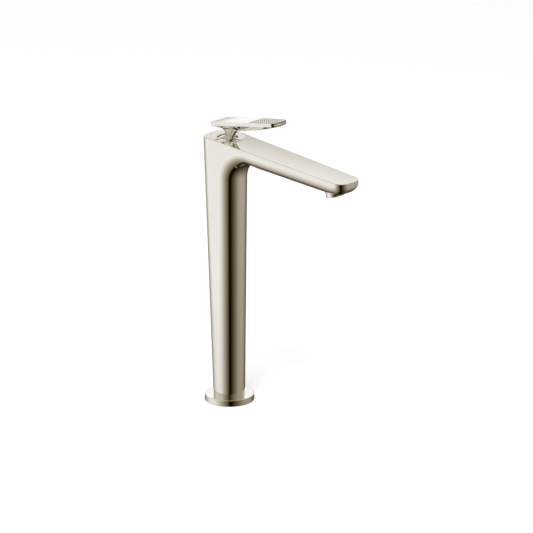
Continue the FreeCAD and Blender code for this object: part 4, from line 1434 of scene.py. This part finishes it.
# %% The wall's tones
WALL_R = 0.9
WALL_LOW, WALL_HIGH = -1.6, 1.9
WALL_SIDES = 128
WALL_MIDDLE = 0.25
ACROSS_CARD = math.radians(318.0)
CARD_TONES = [(-1.0, 0.90), (-0.947, 0.91), (-0.90, 0.95), (-0.87, 0.90), (-0.76, 0.75),
              (-0.59, 0.49), (-0.39, 0.275), (-0.174, 0.13), (-0.04, 0.01), (0.05, 0.0),
              (0.13, 0.01), (0.277, 0.045), (0.488, 0.117), (0.68, 0.23), (0.83, 0.355),
              (0.93, 0.435), (1.0, 0.42)]
BACK_PANELS = [(20, 0.36), (60, 0.44), (100, 0.75), (118, 1.12), (146, 1.12), (165, 0.40),
               (185, 0.52), (205, 0.70), (250, 0.62), (290, 0.22), (318, 0.02), (350, 0.20)]
SLANT = 0.889
SLANT_TONES = [(1.00, 0.88), (1.120, 0.84), (1.165, 0.56), (1.180, 0.62), (1.187, 0.71),
               (1.193, 0.77), (1.200, 0.83), (1.208, 0.90), (1.214, 0.97), (1.26, 1.0),
               (1.32, 0.42), (1.50, 0.42)]
HIGH_PANELS = [(20, 0.40), (90, 0.45), (118, 0.88), (130, 0.88), (152, 0.42), (205, 0.72),
               (230, 0.62), (300, 0.45)]
CARD_TO_BACK = (0.12, 0.37)
BACK_TO_SLANT = (0.46, 0.56)
SLANT_TO_HIGH = (0.76, 0.82)
GREEN_FALL = 1.11
BLUE_FALL = 1.35
print("stops round the wall:", len(BACK_PANELS), len(HIGH_PANELS))

# %% Ramps of the wall
def vector_node(tree, operation, first, second, output="Vector"):
    """Arithmetic on a vector and a plain second one."""
    node = tree.nodes.new("ShaderNodeVectorMath")
    node.operation = operation
    wire(tree, first, node.inputs[0])
    node.inputs[1].default_value = second
    return node.outputs[output]


def tone_ramp(tree, along, stops):
    """Grey colour ramp with its first stop at 0 and its last at 1."""
    ramp = tree.nodes.new("ShaderNodeValToRGB")
    elements = ramp.color_ramp.elements
    for position, value in stops[1:-1]:
        elements.new(position)
    for element, (position, value) in zip(elements, stops):
        element.position = position
        element.color = (value, value, value, 1.0)
    wire(tree, along, ramp.inputs["Fac"])
    return ramp.outputs["Color"]


def panel_ramp(tree, turn, panels):
    """Tones round the wall: each panel is an azimuth in degrees and its brightness."""
    stops = sorted(((azimuth + 90.0) / 360.0 % 1.0, value) for azimuth, value in panels)
    gap = stops[0][0] + 1.0 - stops[-1][0]
    edge = mix(stops[-1][1], stops[0][1], (1.0 - stops[-1][0]) / gap)
    return tone_ramp(tree, turn, [(0.0, edge)] + stops + [(1.0, edge)])


def scaled_ramp(tree, along, stops):
    """Tones against any measure: each stop is a value of the measure and its brightness."""
    low, high = stops[0][0], stops[-1][0]
    share = math_node(tree, "MULTIPLY", math_node(tree, "SUBTRACT", along, low),
                      1.0 / (high - low))
    return tone_ramp(tree, share, [((at - low) / (high - low), value) for at, value in stops])


def card_ramp(tree, place):
    """Tones on both sides of a black card that runs down the wall and on under the object."""
    from_middle = vector_node(tree, "SUBTRACT", place, (0.0, 0.0, WALL_MIDDLE))
    direction = vector_node(tree, "NORMALIZE", from_middle, (0.0, 0.0, 0.0))
    across = (math.cos(ACROSS_CARD), math.sin(ACROSS_CARD), 0.0)
    return scaled_ramp(tree, vector_node(tree, "DOT_PRODUCT", direction, across, "Value"),
                       CARD_TONES)


def slant_ramp(tree, turn, height):
    """Tones of a band that climbs as it goes round the wall."""
    climb = math_node(tree, "ADD", math_node(tree, "MULTIPLY", turn, SLANT), height)
    return scaled_ramp(tree, climb, SLANT_TONES)


# %% Studio wall
def wall_tones(tree):
    """Brightness of the wall: four layers above each other that melt into one another."""
    place = object_place(tree)
    radial = tree.nodes.new("ShaderNodeTexGradient")
    radial.gradient_type = "RADIAL"
    wire(tree, place, radial.inputs["Vector"])
    turn = radial.outputs["Fac"]
    height = axes(tree, place)["Z"]
    tones = card_ramp(tree, place)
    for marks, above in ((CARD_TO_BACK, panel_ramp(tree, turn, BACK_PANELS)),
                         (BACK_TO_SLANT, slant_ramp(tree, turn, height)),
                         (SLANT_TO_HIGH, panel_ramp(tree, turn, HIGH_PANELS))):
        tones = mix_node(tree, "FLOAT", height_share(tree, height, *marks), tones, above)
    return tones


def make_wall_light():
    """Glow of the wall: the darker its tone, the warmer its colour."""
    material = bpy.data.materials.new("studio_panels")
    material.use_nodes = True
    tree = material.node_tree
    tree.nodes.remove(tree.nodes["Principled BSDF"])
    tones = wall_tones(tree)
    warm = tree.nodes.new("ShaderNodeCombineColor")
    wire(tree, tones, warm.inputs["Red"])
    wire(tree, math_node(tree, "POWER", tones, GREEN_FALL), warm.inputs["Green"])
    wire(tree, math_node(tree, "POWER", tones, BLUE_FALL), warm.inputs["Blue"])
    glow = tree.nodes.new("ShaderNodeEmission")
    wire(tree, warm.outputs["Color"], glow.inputs["Color"])
    wire(tree, glow.outputs["Emission"], tree.nodes["Material Output"].inputs["Surface"])
    return material


def hide_from(piece, *rays):
    """Takes a piece out of some kinds of rays."""
    for ray in rays:
        setattr(piece, "visible_" + ray, False)


def make_wall():
    """Round wall that only reflections see."""
    start_clean()
    bpy.ops.mesh.primitive_cylinder_add(vertices=WALL_SIDES, radius=WALL_R,
                                        depth=WALL_HIGH - WALL_LOW,
                                        location=(0.0, 0.0, (WALL_HIGH + WALL_LOW) / 2))
    wall = settle(bpy.context.object)
    wall.name = "studio_wall"
    dress(wall, make_wall_light())
    hide_from(wall, "camera", "diffuse", "shadow", "transmission", "volume_scatter")
    print("wall in metres:", WALL_R, "round,", round(WALL_HIGH - WALL_LOW, 1), "high")


make_wall()

# %% [markdown]
# ### Floor, sky and lamp
# The floor is pale and keeps the object's soft shadow, but it stays out of reflections, where
# the wall's black card has to show. Everywhere else the sky lights the object at three quarters
# of its strength, and it is plain white to the camera and to mirrors. One large round lamp,
# above and to the left on the camera's side, gives the shadow its direction.

# %% Floor, sky and lamp
WHITE = (1.0, 1.0, 1.0, 1.0)
FLOOR_SIZE = 12.0
FLOOR_TONE = 0.9
FLOOR_LIFT = 0.20
SKY_LIGHT = 0.75
LAMP_PLACE = Vector((-1.2, -0.6, 1.8))
LAMP_AIM = Vector((0.0, 0.0, 0.15))
LAMP_SIZE = 1.2
LAMP_POWER = 22.0


def make_floor():
    """Pale floor, lifted a little towards white where the camera sees it."""
    start_clean()
    bpy.ops.mesh.primitive_plane_add(size=FLOOR_SIZE, location=(0.0, 0.0, 0.0))
    floor = bpy.context.object
    floor.name = "floor"
    material, shader = new_material("floor_white", (FLOOR_TONE,) * 3, roughness=0.9)
    shader.inputs["Emission Color"].default_value = WHITE
    tree = material.node_tree
    rays = tree.nodes.new("ShaderNodeLightPath")
    wire(tree, math_node(tree, "MULTIPLY", rays.outputs["Is Camera Ray"], FLOOR_LIFT),
         shader.inputs["Emission Strength"])
    dress(floor, material)
    hide_from(floor, "glossy")


def make_sky():
    """White sky that gives less light than the camera, mirrors and glass see in it."""
    world = bpy.data.worlds.new("studio")
    bpy.context.scene.world = world
    world.use_nodes = True
    tree = world.node_tree
    sky = tree.nodes["Background"]
    sky.inputs["Color"].default_value = WHITE
    rays = tree.nodes.new("ShaderNodeLightPath").outputs
    seen = math_node(tree, "MAXIMUM", rays["Is Camera Ray"], rays["Is Glossy Ray"])
    seen = math_node(tree, "MAXIMUM", seen, rays["Is Transmission Ray"])
    extra = math_node(tree, "MULTIPLY", seen, 1.0 - SKY_LIGHT)
    wire(tree, math_node(tree, "ADD", extra, SKY_LIGHT), sky.inputs["Strength"])


def make_lamp():
    """Large round lamp that reflections don't show."""
    start_clean()
    bpy.ops.object.light_add(type="AREA", location=LAMP_PLACE)
    lamp = bpy.context.object
    lamp.data.shape = "DISK"
    lamp.data.size = LAMP_SIZE
    lamp.data.energy = LAMP_POWER
    lamp.rotation_euler = (LAMP_AIM - LAMP_PLACE).to_track_quat("-Z", "Y").to_euler()
    hide_from(lamp, "glossy")


make_floor()
make_sky()
make_lamp()
print("floor, sky and lamp are up; the lamp gives", LAMP_POWER, "watts")
